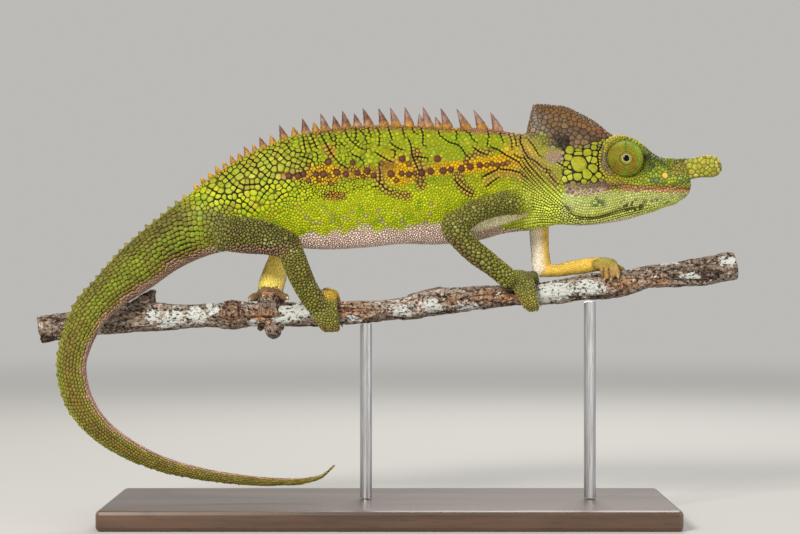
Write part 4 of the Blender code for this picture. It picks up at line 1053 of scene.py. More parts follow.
def mark_legs(field, ground, tone):
    """The near legs, olive with pale beads, and the yellow and pink inner sides of the far ones."""
    plan, limb = field.plan, field.limb
    x, y = plan.T
    coarse, fine, lively = ground.coarse, ground.fine, ground.lively
    leg = Coat("leg", len(x))
    leg.lay(134, 142, 52, step(-0.1, 0.7, coarse) * 0.6)
    leg.lay(110, 106, 46, limb("right", "thigh") * 0.8)
    leg.lay(104, 84, 50, step(0.1, 0.6, fine) * 0.4)
    leg.over(colour_of("bead"), step(0.3, 0.75, lively) * 0.6)
    leg.lay(146, 148, 62, limb("right", "forearm") * step(478, 505, x) * 0.5)
    leg.lay(138, 136, 66, limb("right", "foot") * 0.7)
    for bx, by, br in ((500, 200, 3.4), (462, 215, 4.2), (486, 209, 2.0), (271, 226, 2.5)):
        leg.lay(34, 42, 44, spot(plan, bx, by, br) * step(-0.4, 0.1, lively) * 0.85)
    leg.lay(150, 118, 92, limb("right", "shin") * step(295, 312, x - (y - 250) * 0.35) * 0.55)
    leg.lay(124, 100, 72, limb("right", "forearm") * step(8, 1, x - (440 + (y - 225) * 0.93)) * 0.55)
    leg.lay(150, 112, 98, limb("right", "thigh") * step(241, 249, y) * 0.75)
    leg.lay(176, 150, 84, limb("right", "toe") * step(318, 330, y) * 0.6)
    leg.lay(172, 156, 74, limb("right_front_foot") * step(288, 303, y) * 0.7)
    leg.lay(200, 164, 52, pad(field) * step(420, 400, x) * 0.9)
    leg.lay(112, 108, 64, pad(field) * step(480, 500, x) * 0.9)
    tone.over(leg.values, field.leg("right"))
    inner = Coat("leg_yellow", len(x))
    inner.over(colour_of("leg_pale"), limb("left_upper_arm") * step(550, 538, x - (y - 240) * 0.12))
    inner.lay(222, 178, 60, step(-0.1, 0.6, coarse) * 0.4)
    inner.lay(156, 138, 66, limb("left_front_foot") * step(576, 588, x) * step(272, 264, y) * 0.9)
    inner.lay(150, 116, 78, limb("left_front_foot") * step(262, 272, y) * 0.85)
    for fold in (pairs(604, 268, 603, 286), pairs(609, 268, 610, 286), pairs(599, 270, 597, 284)):
        inner.lay(84, 60, 36, spot_band(plan, fold, 1.1) * limb("left_front_foot") * 0.8)
    # The far shin brighter than its own yellow: painted light where the body shades it.
    inner.lay(252, 224, 112, limb("left_shin"))
    inner.lay(240, 206, 180, limb("left_shin") * step(279, 287, x) * 0.8)
    inner.lay(244, 226, 190, limb("left_shin") * step(288, 293, y) * 0.7)
    inner.lay(176, 168, 92, limb("left_shin") * step(266, 260, x) * 0.7)
    # Darker tan-brown on the lower far hind foot: painted shade of the foot in shadow.
    inner.lay(122, 96, 72, limb("left_hind_foot") * step(262, 285, y) * 0.95)
    inner.over(leg.values, field.outer())
    tone.over(inner.values, field.leg("left"))


def gap_tone(field, ground, tone):
    """Skin in the gaps: a darker shade of the scales, and black along the cracks."""
    plan = field.plan
    x, y = plan.T
    body, tail, belly, face = ground.body, ground.tail, ground.belly, ground.face
    near, far = field.leg("right"), field.leg("left")
    gap = Coat(tone.values * 0.3)
    flank = body * (1 - belly) * (1 - face) * (1 - tail)
    gap.over(tone.values * 0.42, flank)
    gap.over(tone.values * 0.62, flank * step(172, 160, y) * step(300, 340, x))
    gap.lay(40, 38, 12, flank * step(330, 270, x) * step(225, 195, y) * 0.75)
    gap.lay(38, 36, 12, body * (1 - tail) * spot(plan, 218, 214, 30, 20) * 0.75)
    gap.lay(150, 118, 112, belly * 0.8)
    gap.over(tone.values * 0.5, face * step(190, 194, y))
    gap.lay(24, 24, 14, temple_zone(field))
    # Painted light: lighter gaps in the armpit, where the arm shades it.
    gap.over(tone.values * 0.7, ground.armpit)
    gap.lay(62, 58, 24, near)
    gap.lay(34, 34, 12, near * field.limb("thigh"))
    gap.over(tone.values * 0.3, near * field.limb("foot"))
    gap.over(tone.values * 0.7, pad(field))
    # Gaps of the far legs nearly as light as their scales: painted light where the body shades these legs.
    gap.over(tone.values * 0.92, far)
    gap.lay(52, 50, 20, far * field.outer())
    gap.lay(46, 42, 16, tail * step(-0.8, -0.65, field.up))
    gap.over(tone.values * 0.3, ground.casque)
    lip = spot_band(plan, MOUTH_CORNER, 6.0) * face
    gap.lay(182, 158, 142, lip * step(182, 190, y) * 0.8)
    gap.lay(44, 30, 14, dark_net(field) * 0.85)
    gap.lay(128, 88, 8, ground.band * (1 - dark_net(field)) * 0.8)
    for sx, sy, sr in SPOTS:
        gap.lay(44, 22, 14, step(sr + 1.6, sr + 0.4, np.hypot(x - sx, y - sy)) * body * 0.8)
    gap.shade(0.45, cracked(field) * (1 - belly))
    return gap


def markings(field):
    """Colour of the scales and of the skin between them."""
    ground = Ground(field)
    tone = torso_tone(field, ground)
    for mark in (mark_neck, mark_head, mark_casque, mark_tail, mark_legs):
        mark(field, ground, tone)
    gap = gap_tone(field, ground, tone)
    return np.clip(tone.values, 0.002, 0.95), np.clip(gap.values, 0.002, 0.9)


def cracked(field):
    """1 on the lines of the cracks, on the sides of the body."""
    mask = np.zeros(len(field.points))
    for line in CRACKS:
        chosen = np.flatnonzero(near_line(field.plan, line, 4) & field.named["body"])
        mask[chosen] = np.maximum(mask[chosen], step(2.2, 1.0, line_distance(field.plan[chosen], line)))
    return mask


def dark_net(field):
    """Where the skin between the scales is wide and dark, beyond the usual."""
    net = np.zeros(len(field.points))
    for line, _, width in STRIPES[:6]:
        net = np.maximum(net, spot_band(field.plan, line, width))
    return net * field.named["body"]


# Placing the scales.


# Area of a scale over the square of its distance to the next.
SCALE_AREA = 0.87


def sample_surface(surface, size, count, rng):
    """Random points over a surface, denser where scales are small, with what lies under them."""
    triangles = []
    for face in surface.faces:
        triangles.extend((face[0], face[k], face[k + 1]) for k in range(1, len(face) - 1))
    triangles = np.array(triangles)
    a, b, c = (surface.points[triangles[:, k]] for k in range(3))
    area = np.linalg.norm(np.cross(b - a, c - a), axis=1) / 2
    share = area / size[triangles[:, 0]] ** 2
    scales = int(share.sum() / SCALE_AREA)
    picked = rng.choice(len(triangles), count, p=share / share.sum())
    u, v = rng.random(count), rng.random(count)
    over = u + v > 1
    u[over], v[over] = 1 - u[over], 1 - v[over]
    corners = triangles[picked]
    weights = np.stack([1 - u - v, u, v], axis=1)
    points = (surface.points[corners] * weights[:, :, None]).sum(axis=1)
    return points, size[corners[:, 0]], scales


def settle(surface, point):
    """Nearest point of a surface, and the number of a surface point beside it."""
    place, _, face, _ = surface.tree.find_nearest(point)
    return place, surface.faces[face][0]


def settled(surface, points):
    """Nearest points of a surface, and the number of a surface point beside each."""
    places, numbers = zip(*(settle(surface, point) for point in points))
    return np.array(places), np.array(numbers)


def finder_of(points):
    finder = KDTree(len(points))
    for number, point in enumerate(points):
        finder.insert(point, number)
    finder.balance()
    return finder


def spread_out(samples, size, count, rounds, rng):
    """Evenly spaced centres among samples, closer where the wanted size is small."""
    centres = samples[rng.choice(len(samples), count, replace=False)].copy()
    weight = 1 / size**2
    for _ in range(rounds):
        finder = finder_of(centres)
        owner = np.fromiter((finder.find(point)[1] for point in samples), dtype=np.int64, count=len(samples))
        total = np.bincount(owner, weight, len(centres))
        moved = np.stack([np.bincount(owner, weight * samples[:, k], len(centres)) for k in range(3)], axis=1)
        alive = total > 0
        centres = moved[alive] / total[alive, None]
    return centres


def plan_to_skin(x, y, side):
    """The point of the body's skin that lies at a place of the plan, on one side, or None."""
    camera_x, away, camera_z = CAMERA_PLACE
    start = Vector((camera_x, -side * away, camera_z))
    across, rise = (x - PLAN_CENTRE[0]) / PLAN_SCALE, (PLAN_CENTRE[1] - y) / PLAN_SCALE
    aim = Vector((across + camera_x, 0, rise + camera_z))
    hit = SKIN.tree.ray_cast(start, (aim - start).normalized())
    if hit[0] is None:
        return None
    number = SKIN.faces[hit[2]][0]
    return (hit[0], number) if SKIN.names[SKIN.label[number]] == "body" else None


def tail_lattice():
    """Slanting rings of squarish scales round the tail, finer towards its underside: points, sizes."""
    found = []
    at, last = tail_distance() - 2.0, distances(BODY)[-1] - 0.5
    while at < last:
        size = float(tail_size(at))
        row = smooth_rows(BODY, [at])[0]
        around = 2 * math.pi * math.sqrt((row[3] ** 2 + ((row[4] + row[5]) / 2) ** 2) / 2)
        count = max(10, int(round(1.2 * around / size)))
        for k in range(count):
            share = (2 * k + 1) / count - 1
            off = math.pi * (1.25 * share - 0.25 * share * abs(share))
            upward = math.cos(off)
            if upward < TAIL_UNDERSIDE:
                continue
            place = at + TAIL_SLANT * row[4] * (1 - upward)
            middle, _, side, up = (v[0] for v in frames_along(BODY, [place]))
            half, above, below = smooth_rows(BODY, [place])[0][3:6]
            rise = (above if upward > 0 else below) * upward
            width = size * (0.86 + 0.12 * upward)
            found.append((middle + side * (math.sin(off) * half) + up * rise, width))
        at += size * 1.08
    return found


def along_line(line, at):
    """Points of a line of the plan at lengths along it."""
    where = walked(*line.T)
    return np.column_stack([np.interp(at, where, values) for values in line.T])


def beside(line, every):
    """Places in pairs on both sides of a line of the plan, half a step off it."""
    line = np.array(line, dtype=float)
    at = np.arange(every / 2, walked(*line.T)[-1], every)
    ahead = unit(along_line(line, at + 1) - along_line(line, at - 1))
    across = ahead[:, ::-1] * [-every / 2, every / 2]
    return np.concatenate([along_line(line, at) + across * way for way in (-1, 1)])


def between(first, second, t):
    """A line of the plan that lies a share of the way from one to another."""
    return np.array(first) * (1 - t) + np.array(second) * t


def along_rows():
    """Places of the scales that stand in rows on the neck and jaw."""
    places = []
    for first, second, count, _ in ROWS:
        for k in range(count):
            line = between(first, second, (k + 0.5) / count)
            at = np.arange(ROW_STEP * (0.25 + 0.5 * (k % 2)), walked(*line.T)[-1], ROW_STEP)
            places.append(along_line(line, at))
    return np.concatenate(places)


def seams():
    """Every line along which scales part: the line, its extra gap at its start and at its end."""
    lines = []
    for line in CRACKS:
        wide = 0.13 if line[0][0] < 500 else 0.10
        lines.append((line, wide, wide * 0.5))
    for first, second, count, wide in ROWS:
        for k in range(count + 1):
            lines.append((between(first, second, k / count).tolist(), wide, wide))
    return lines


def planned_places():
    """Scales with a place of their own on the plan: X, Y, radius and how far they may reach."""
    tables = ((SPOTS, 0.84), (TEMPLE_PLATES, 2.3), (FACE_PLATES, 1.2), (PALE_DOTS, 0.72))
    chosen = [(x, y, r, reach) for table, reach in tables for x, y, r in table]
    more = [(x, y, ROW_STEP / 2) for x, y in along_rows()]
    for line in CRACKS:
        size = float(np.interp(line[0][0], [220, 300, 400, 575], [5.2, 4.0, 3.4, 3.0]))
        more += [(x, y, size / 2) for x, y in beside(line, size)]
    for x, y, r in more:
        if all(math.dist((x, y), other[:2]) > 0.8 * (r + other[2]) for other in chosen):
            chosen.append((x, y, r, 1.7))
    return chosen


# How far spread scales keep off planned ones, as a share of their size; the radius from which a
# plate is large, in millimetres; and how many beads of the near legs are large, and how much so.
KEEP_OFF = 0.42
LARGE_PLATE = 1.2
LARGE_BEAD_SHARE = 0.14
LARGE_BEAD_SIZE = 1.4


def place_scales():
    """Centres of all scales of the flesh: what lies under them, and their radii."""
    sizes = bpy.context.scene.chameleon_sizes
    rng = np.random.default_rng(SEED)
    whole = Field(SKIN.points, SKIN.normals, np.arange(len(SKIN.points)))
    samples, size, scales = sample_surface(SKIN, spacing(whole) / PLAN_SCALE, sizes.samples, rng)
    fixed, fixed_radius, reach = [], [], []
    for x, y, r, far in planned_places():
        for side in (-1, 1):
            found = plan_to_skin(x, y, side)
            if found:
                fixed.append(found)
                fixed_radius.append(r / PLAN_SCALE)
                reach.append(far)
    for point, width in tail_lattice():
        fixed.append(settle(SKIN, Vector(point) + Vector(rng.normal(0, 0.12 * width**2, 3))))
        fixed_radius.append(width * 0.5)
        reach.append(1.6)
    fixed_points = np.array([place for place, _ in fixed])
    fixed_radius = np.array(fixed_radius)
    keep_off = finder_of(fixed_points)
    free = np.ones(len(samples), dtype=bool)
    for number, point in enumerate(samples):
        _, k, away = keep_off.find(point)
        free[number] = away >= fixed_radius[k] + size[number] * KEEP_OFF
    for k in np.flatnonzero(fixed_radius > LARGE_PLATE):
        free &= np.linalg.norm(samples - fixed_points[k], axis=1) >= fixed_radius[k] + size * KEEP_OFF
    rounds = sizes.rounds
    centres = spread_out(samples[free], size[free], int(scales * free.mean()), rounds, rng)
    placed = [settle(SKIN, point) for point in centres] + fixed
    numbers = np.array([number for _, number in placed])
    field = Field(np.array([place for place, _ in placed]), SKIN.normals[numbers], numbers)
    usual = spacing(field) / PLAN_SCALE / 2
    radius = usual * rng.uniform(0.8, 1.25, len(placed))
    beads = field.limb("right") & (rng.random(len(placed)) < LARGE_BEAD_SHARE)
    radius *= np.where(beads, LARGE_BEAD_SIZE, 1.0)
    radius *= np.where(radius > 0.55, rng.uniform(0.75, 1.3, len(placed)), 1.0)
    radius[len(centres):] = fixed_radius
    limit = 1.8 * usual / radius
    limit[len(centres):] = reach
    return field, radius, limit, rng


def crack_gaps(field, pairs_a, pairs_b):
    """Extra gap for each pair of neighbours that a crack parts."""
    extra = np.zeros(len(pairs_a))
    a, b = field.plan[pairs_a], field.plan[pairs_b]
    on_body = field.named["body"][pairs_a] & field.named["body"][pairs_b]
    low, high = np.minimum(a, b), np.maximum(a, b)
    for line, wide_start, wide_end in seams():
        total = sum(math.dist(p, q) for p, q in zip(line, line[1:]))
        done = 0.0
        for (px, py), (qx, qy) in zip(line, line[1:]):
            length = math.dist((px, py), (qx, qy))
            close = np.flatnonzero(
                on_body
                & (high[:, 0] > min(px, qx)) & (low[:, 0] < max(px, qx))
                & (high[:, 1] > min(py, qy)) & (low[:, 1] < max(py, qy))
            )
            middle = (done + length / 2) / total
            done += length
            if not len(close):
                continue
            ax, ay = a[close].T
            bx, by = b[close].T
            one = (qx - px) * (ay - py) - (qy - py) * (ax - px)
            two = (qx - px) * (by - py) - (qy - py) * (bx - px)
            three = (bx - ax) * (py - ay) - (by - ay) * (px - ax)
            four = (bx - ax) * (qy - ay) - (by - ay) * (qx - ax)
            cut = (one * two < 0) & (three * four < 0)
            wide = wide_start + (wide_end - wide_start) * middle
            extra[close[cut]] = np.maximum(extra[close[cut]], wide)
    return extra


def clusters(field):
    """Groups of neighbouring plates on the back and hips, parted by wider cracks."""
    x, y = field.plan.T
    stretched = np.column_stack([x / 11, y / 17, np.sign(field.points[:, 1]) * 40])
    stretched[:, 0] += stretched[:, 1] * 0.35
    rng = np.random.default_rng(SEED + 1)
    seeds = stretched[rng.choice(len(stretched), len(stretched) // 7, replace=False)]
    finder = finder_of(seeds)
    return np.array([finder.find(point)[1] for point in stretched])


def tangents(normals):
    first = np.cross(normals, np.array([0.0, 0.0, 1.0]))
    weak = np.linalg.norm(first, axis=1) < 0.2
    first[weak] = np.cross(normals[weak], np.array([1.0, 0.0, 0.0]))
    first = unit(first)
    return first, np.cross(normals, first)


def wider_gaps(field, chosen, neighbours):
    """Extra half gap where a crack, or the edge of a group of plates, parts two scales."""
    near = neighbours.shape[1]
    opened = crack_gaps(field, np.repeat(chosen, near), neighbours.ravel()).reshape(len(chosen), near)
    group = clusters(field)
    x, y = field.plan[chosen].T
    zone = field.named["body"][chosen] * step(232, 180, y) * step(560, 520, x)
    zone *= np.interp(x, [190, 230, 310, 380, 520], [0.4, 1, 0.8, 0.5, 0.4])
    parted = (group[chosen][:, None] != group[neighbours]) * zone[:, None] * 0.06
    return np.maximum(np.maximum(opened, parted), tail_seams(field, chosen, neighbours))


def tail_seams(field, chosen, neighbours):
    """Extra gap along the lengthwise seams of the tail, wide in some stretches and thin in others."""
    forward = frames_along(BODY, field.along[chosen])[1]
    way = unit(field.points[neighbours] - field.points[chosen][:, None, :])
    aside = step(0.4, 0.75, 1 - np.abs((way * forward[:, None, :]).sum(axis=2)))
    middle = (field.points[neighbours] + field.points[chosen][:, None, :]) / 2
    strong = step(-0.25, 0.55, noise(middle.reshape(-1, 3), 4.5, 81, 2)).reshape(aside.shape)
    tail = field.named["body"][chosen] * step(tail_distance() - 4, tail_distance() + 6, field.along[chosen])
    width = 0.095 * tail_size(field.along[chosen]) * tail
    return aside * ((0.2 + 0.8 * strong) * width[:, None] + 0.05 * tail[:, None])


def border(length, mine, theirs):
    """How far from its centre a scale meets a neighbour, for scales of two radii."""
    reach = (length**2 + mine**2 - theirs**2) / (2 * np.maximum(length, 1e-6))
    return np.clip(reach, 0.22 * length, 0.78 * length)


# Strips in the cracks: from which extra gap, and how far they reach above and below the skin.
STRIP_FROM = 0.032
STRIP_UP = 0.045
STRIP_DOWN = 0.08


def crack_strips(field, radius):
    """Thin strips of black skin along the widest gaps, between the scales that they part."""
    x, y = field.plan.T
    deep = (x < 660) & ((y < 235) | (field.along > tail_distance()))
    deep &= spot(field.plan, 512, 216, 22, 12) < 0.3
    chosen = np.flatnonzero(field.named["body"] & deep)
    finder = finder_of(field.points)
    neighbours = np.array([[k for _, k, _ in finder.find_n(field.points[i], 9)][1:] for i in chosen])
    wide = wider_gaps(field, chosen, neighbours).ravel()
    i, j = np.repeat(chosen, 8), neighbours.ravel()
    keep = (wide > STRIP_FROM) & (i < j) & ((field.normals[i] * field.normals[j]).sum(axis=1) > 0.5)
    i, j, wide = i[keep], j[keep], wide[keep]
    way = field.points[j] - field.points[i]
    length = np.linalg.norm(way, axis=1)
    reach = border(length, radius[i], radius[j])
    middle = field.points[i] + way * (reach / length)[:, None]
    normal = unit(field.normals[i] + field.normals[j])
    along = unit(np.cross(normal, way)) * np.minimum(radius[i], radius[j])[:, None]
    across = unit(way) * (wide * 1.25 + 0.02 * (field.along[i] > tail_distance()))[:, None]
    shape = np.array([(1, 0), (0.6, -1), (-0.6, -1), (-1, 0), (-0.6, 1), (0.6, 1)])
    points = np.empty((len(i), 12, 3))
    for k in range(len(i)):
        for c, (a, b) in enumerate(shape):
            place = np.array(SKIN.tree.find_nearest(middle[k] + along[k] * a + across[k] * b)[0])
            points[k, c], points[k, 6 + c] = place + normal[k] * STRIP_UP, place - normal[k] * STRIP_DOWN
    walls = np.array([(c, 6 + c, 6 + (c + 1) % 6, (c + 1) % 6) for c in range(6)])
    faces = [walls, np.arange(6)[None], np.arange(6, 12)[None, ::-1]]
    rises = np.zeros((len(i), 12))
    patches = np.broadcast_to(np.tile(shape, (2, 1)) * PATCH / 2, (len(i), 12, 2))
    return (points, rises, patches, faces), i


def cell_outlines(points, normals, radius, gap, sides, chosen, wider, limit):
    """Distance from each chosen scale's centre to its edge, in a number of directions."""
    near = min(16, len(points) - 1)
    finder = finder_of(points)
    neighbours = np.array([[k for _, k, _ in finder.find_n(points[i], near + 1)][1:] for i in chosen])
    way = points[neighbours] - points[chosen][:, None, :]
    length = np.linalg.norm(way, axis=2)
    normal = normals[chosen][:, None, :]
    facing = (normals[neighbours] * normal).sum(axis=2)
    flat = way - normal * (way * normal).sum(axis=2, keepdims=True)
    first, second = tangents(normals[chosen])
    angle = np.arctan2((flat * second[:, None, :]).sum(axis=2), (flat * first[:, None, :]).sum(axis=2))
    mine, theirs = radius[chosen][:, None], radius[neighbours]
    reach = border(length, mine, theirs)
    reach = reach - (gap[chosen][:, None] + gap[neighbours]) / 2
    if wider is not None:
        reach = reach - wider(chosen, neighbours)
    reach = np.where(facing < 0.1, 10.0, np.maximum(reach, 0.12 * length))
    outlines = np.empty((len(chosen), sides))
    for k in range(sides):
        c = np.cos(angle - 2 * math.pi * k / sides)
        edge = np.where(c > 0.12, reach / np.maximum(c, 0.12), 20.0)
        outlines[:, k] = np.minimum((edge**-9.0).sum(axis=1) ** (-1 / 9.0), (radius * limit)[chosen])
    return outlines, first, second


def gap_width(field):
    """Half the usual gap between two scales, in millimetres."""
    x, y = field.plan.T
    body, tail, head, belly = areas(field)
    g = np.where(field.named["casque"], 0.045, 0.06)
    g = np.where(body, 0.032 + 0.006 * step(200, 165, y) + 0.014 * step(300, 240, x) * step(236, 205, y), g)
    g += (-0.022 - g) * tail
    g += (0.08 - g) * belly
    g += dark_net(field) * 0.035
    g += (0.048 - g) * field.leg("right")
    g += (0.075 - g) * field.limb("right", "thigh") * field.leg("right")
    g += (0.02 - g) * pad(field)
    g += (0.035 - g) * field.leg("left") * (1 - field.outer())
    g += (0.072 - g) * temple_zone(field)
    g += (0.045 - g) * head * spot_band(field.plan, MOUTH_CORNER, 6.0)
    return g * bpy.context.scene.chameleon_sizes.gap


def rise_height(field, radius):
    """How high the middle of each scale stands over the skin, in millimetres."""
    x, y = field.plan.T
    body, tail, head, belly = areas(field)
    h = 0.07 + radius * 0.07
    h = np.where(field.limb("right"), 0.08 + radius * 0.24, h)
    h = np.where(field.limb("left"), 0.05 + radius * (0.16 + 0.08 * field.outer()), h)
    h += belly * 0.06
    h += tail * (radius * 0.10)
    cones = body * tail * step(0.97, 0.995, field.up)
    h += cones * np.interp(field.along, [tail_distance(), tail_distance() + 60, 240], [0.35, 0.3, 0.1])
    rim = field.named["casque"] * step(0.9, 0.97, field.up)
    h += rim * 0.16
    snout = head * step(645, 656, x) * step(163, 159, y)
    h += snout * 0.18
    brow = head * step(27, 24, np.hypot(x - EYE_PLAN[0], y - EYE_PLAN[1])) * step(150, 144, y)
    h += brow * 0.18
    ridge = body * (1 - tail) * step(0.95, 0.99, field.up)
    h += ridge * 0.25
    return h


ATLAS_WIDTH = 152
ATLAS_GAP = 0.008
ATLAS_EDGE = 0.985
ATLAS_MARGIN = 0.005


def atlas():
    """A place on the unit square for each tube of the flesh: corner, width and height."""
    boxes = []
    for k, (name, table, *_) in enumerate(flesh_tables()):
        where = distances(table)
        rows = np.array(table, dtype=float)
        rounds = 2 * math.pi * np.sqrt((rows[:, 3] ** 2 + ((rows[:, 4] + rows[:, 5]) / 2) ** 2) / 2)
        spans = [(0.0, where[-1], rounds.max())]
        if name == "body":
            cut = tail_distance()
            spans = [(0.0, cut, rounds[:TAIL_START].max()), (cut, where[-1], rounds[TAIL_START:].max())]
        for start, end, height in spans:
            boxes.append([k, start, end, (end - start) / ATLAS_WIDTH, height / ATLAS_WIDTH])
    boxes.sort(key=lambda box: -box[4])
    left = bottom = row = 0.0
    placed = {}
    for k, start, end, width, height in boxes:
        if left + width > ATLAS_EDGE:
            left, bottom, row = 0.0, bottom + row + ATLAS_GAP, 0.0
        corner = (left + ATLAS_MARGIN, bottom + ATLAS_MARGIN)
        placed.setdefault(k, []).append((start, end, *corner, width, height))
        left += width + ATLAS_GAP
        row = max(row, height)
    return placed


def unwrap(field):
    """Place of each point on the unwrap of the skin."""
    uv = np.zeros((len(field.points), 2))
    turn = (field.around - math.pi / 2) % (2 * math.pi) / (2 * math.pi)
    for k, spans in atlas().items():
        for start, end, u, v, width, height in spans:
            mine = (field.label == k) & (field.along >= start - 1e-6) & (field.along <= end + 1e-6)
            uv[mine, 0] = u + (field.along[mine] - start) / (end - start) * width
            uv[mine, 1] = v + turn[mine] * height
    return np.clip(uv, 0.002, 0.998)


PATCH = 0.003
COAT_LIMIT = 190000


def shell(surface, points, normals, radius, gap, height, sides, levels, chosen, wider=None, limit=1.35):
    """Mesh arrays of chosen scales. A level is a share of the outline and of the height."""
    outlines, first, second = cell_outlines(points, normals, radius, gap, sides, chosen, wider, limit)
    height = height[chosen] * np.minimum(1.0, outlines.mean(axis=1) / (radius[chosen] * 0.7)) ** 0.5
    turn = turns(sides)
    ray = first[:, None, :] * np.cos(turn)[None, :, None] + second[:, None, :] * np.sin(turn)[None, :, None]
    centre, normal = points[chosen], normals[chosen]
    rim = centre[:, None, :] + ray * outlines[:, :, None]
    for i in np.flatnonzero(outlines.max(axis=1) > 0.36):
        for k in range(sides):
            rim[i, k] = surface.tree.find_nearest(rim[i, k])[0]
    rings, rises, patches = [], [], []
    local = np.stack([np.cos(turn), np.sin(turn)], axis=1) * PATCH / 2
    for share, lift in levels:
        ring = centre[:, None, :] + (rim - centre[:, None, :]) * share
        rings.append(ring + (lift * height)[:, None, None] * normal[:, None, :])
        rises.append(np.full((len(chosen), sides), max(lift, 0.0)))
        patches.append(np.broadcast_to(local * share, (len(chosen), sides, 2)))
    rings.append((centre + normal * height[:, None])[:, None, :])
    rises.append(np.ones((len(chosen), 1)))
    patches.append(np.zeros((len(chosen), 1, 2)))
    rings, rises, patches = (np.concatenate(v, axis=1) for v in (rings, rises, patches))
    quads = []
    for level in range(len(levels) - 1):
        a, b = level * sides, (level + 1) * sides
        quads.extend((a + k, a + (k + 1) % sides, b + (k + 1) % sides, b + k) for k in range(sides))
    last, tip = (len(levels) - 1) * sides, len(levels) * sides
    caps = [(last + k, last + (k + 1) % sides, tip) for k in range(sides)]
    return rings, rises, patches, [np.array(quads), np.array(caps), np.arange(sides)[None, ::-1]]


def scale_piece(name, parts, tone, uv, chosen):
    """One joined piece of scales from mesh arrays, with its colours and bake map."""
    points, rises, patches, faces = parts
    each = points.shape[1]
    count = len(points)
    offsets = (np.arange(count) * each)[:, None, None]
    index = np.concatenate([(kind[None] + offsets).ravel() for kind in faces])
    widths = np.concatenate([np.full(count * len(kind), kind.shape[1]) for kind in faces])
    mesh = bpy.data.meshes.new(name)
    mesh.vertices.add(count * each)
    mesh.vertices.foreach_set("co", (points.reshape(-1, 3) * MM).ravel())
    mesh.loops.add(len(index))
    mesh.loops.foreach_set("vertex_index", index)
    mesh.polygons.add(len(widths))
    mesh.polygons.foreach_set("loop_start", np.concatenate([[0], np.cumsum(widths)[:-1]]))
    mesh.polygons.foreach_set("use_smooth", np.ones(len(widths), dtype=bool))
    mesh.update(calc_edges=True)
    colour_attribute(mesh, "Tint", np.repeat(tone[chosen], each, axis=0))
    number_attribute(mesh, "Rise", rises.ravel())
    layer = mesh.uv_layers.new(name="OFBake")
    corner = (uv[chosen][:, None, :] + patches).reshape(-1, 2)
    layer.data.foreach_set("uv", corner[index].ravel())
    return new_object(name, mesh)


class Mat:
    """Helps to write a material's nodes as Python expressions."""

    def __init__(self, name):
        self.material = bpy.data.materials.new(name)
        self.material.use_nodes = True
        self.tree = self.material.node_tree
        self.tree.nodes.clear()
        self.output = self.tree.nodes.new("ShaderNodeOutputMaterial")

    def node(self, kind, settings=None, **inputs):
        """Any node: its settings are set first, then the values or links of its sockets."""
        node = self.tree.nodes.new(kind)
        for key, value in (settings or {}).items():
            setattr(node, key, value)
        for key, value in inputs.items():
            place = int(key[1:]) if key[0] == "_" else key.replace("_", " ")
            self.feed(node.inputs[place], value)
        return node

    def feed(self, socket, value):
        if isinstance(value, Sock):
            self.tree.links.new(value.socket, socket)
        else:
            socket.default_value = value

    def sock(self, node, output=0):
        return Sock(self, node.outputs[output])

    def attribute(self, name, output="Color"):
        return self.sock(self.node("ShaderNodeAttribute", {"attribute_name": name}), output)

    def place(self):
        return self.sock(self.node("ShaderNodeTexCoord"), "Object")

    def noise(self, scale, detail, rough=0.55, vector=None):
        vector = vector or self.place()
        node = self.node("ShaderNodeTexNoise", Scale=scale, Detail=detail, Roughness=rough, Vector=vector)
        return self.sock(node, "Fac")

    def cells(self, scale):
        node = self.node("ShaderNodeTexVoronoi", Scale=scale, Vector=self.place())
        return self.sock(node, "Distance")

    def spread(self, value, low, high):
        """0 below low, 1 above high and smooth between."""
        settings = {"interpolation_type": "SMOOTHSTEP"}
        return self.sock(self.node("ShaderNodeMapRange", settings, Value=value, From_Min=low, From_Max=high))

    def mix(self, fac, a, b, blend="MIX"):
        node = self.node("ShaderNodeMix", {"data_type": "RGBA", "blend_type": blend}, _0=fac, _6=a, _7=b)
        return self.sock(node, 2)

    def times(self, colour, factor, share=1.0):
        """A colour multiplied by a number or by another colour, in some share."""
        return self.mix(share, colour, factor if isinstance(factor, tuple) else white(factor), "MULTIPLY")

    def stretched(self, x, y, z):
        """Places on the object, stretched by three factors."""
        return self.sock(self.node("ShaderNodeMapping", Vector=self.place(), Scale=(x, y, z)))

    def bump(self, height, distance, strength):
        node = self.node("ShaderNodeBump", Height=height, Distance=distance, Strength=strength)
        return self.sock(node, "Normal")

    def principled(self, **inputs):
        shader = self.node("ShaderNodeBsdfPrincipled", **inputs)
        self.tree.links.new(shader.outputs[0], self.output.inputs["Surface"])
        return self.material


class Sock:
    """A socket on which Python's operators add Math nodes."""

    def __init__(self, mat, socket):
        self.mat, self.socket = mat, socket

    def math(self, operation, a, b):
        return self.mat.sock(self.mat.node("ShaderNodeMath", {"operation": operation}, _0=a, _1=b))

    def __add__(self, other):
        return self.math("ADD", self, other)

    def __sub__(self, other):
        return self.math("SUBTRACT", self, other)

    def __rsub__(self, other):
        return self.math("SUBTRACT", other, self)

    def __mul__(self, other):
        return self.math("MULTIPLY", self, other)

    __radd__ = __add__
    __rmul__ = __mul__


def white(value):
    return (value, value, value, 1.0)


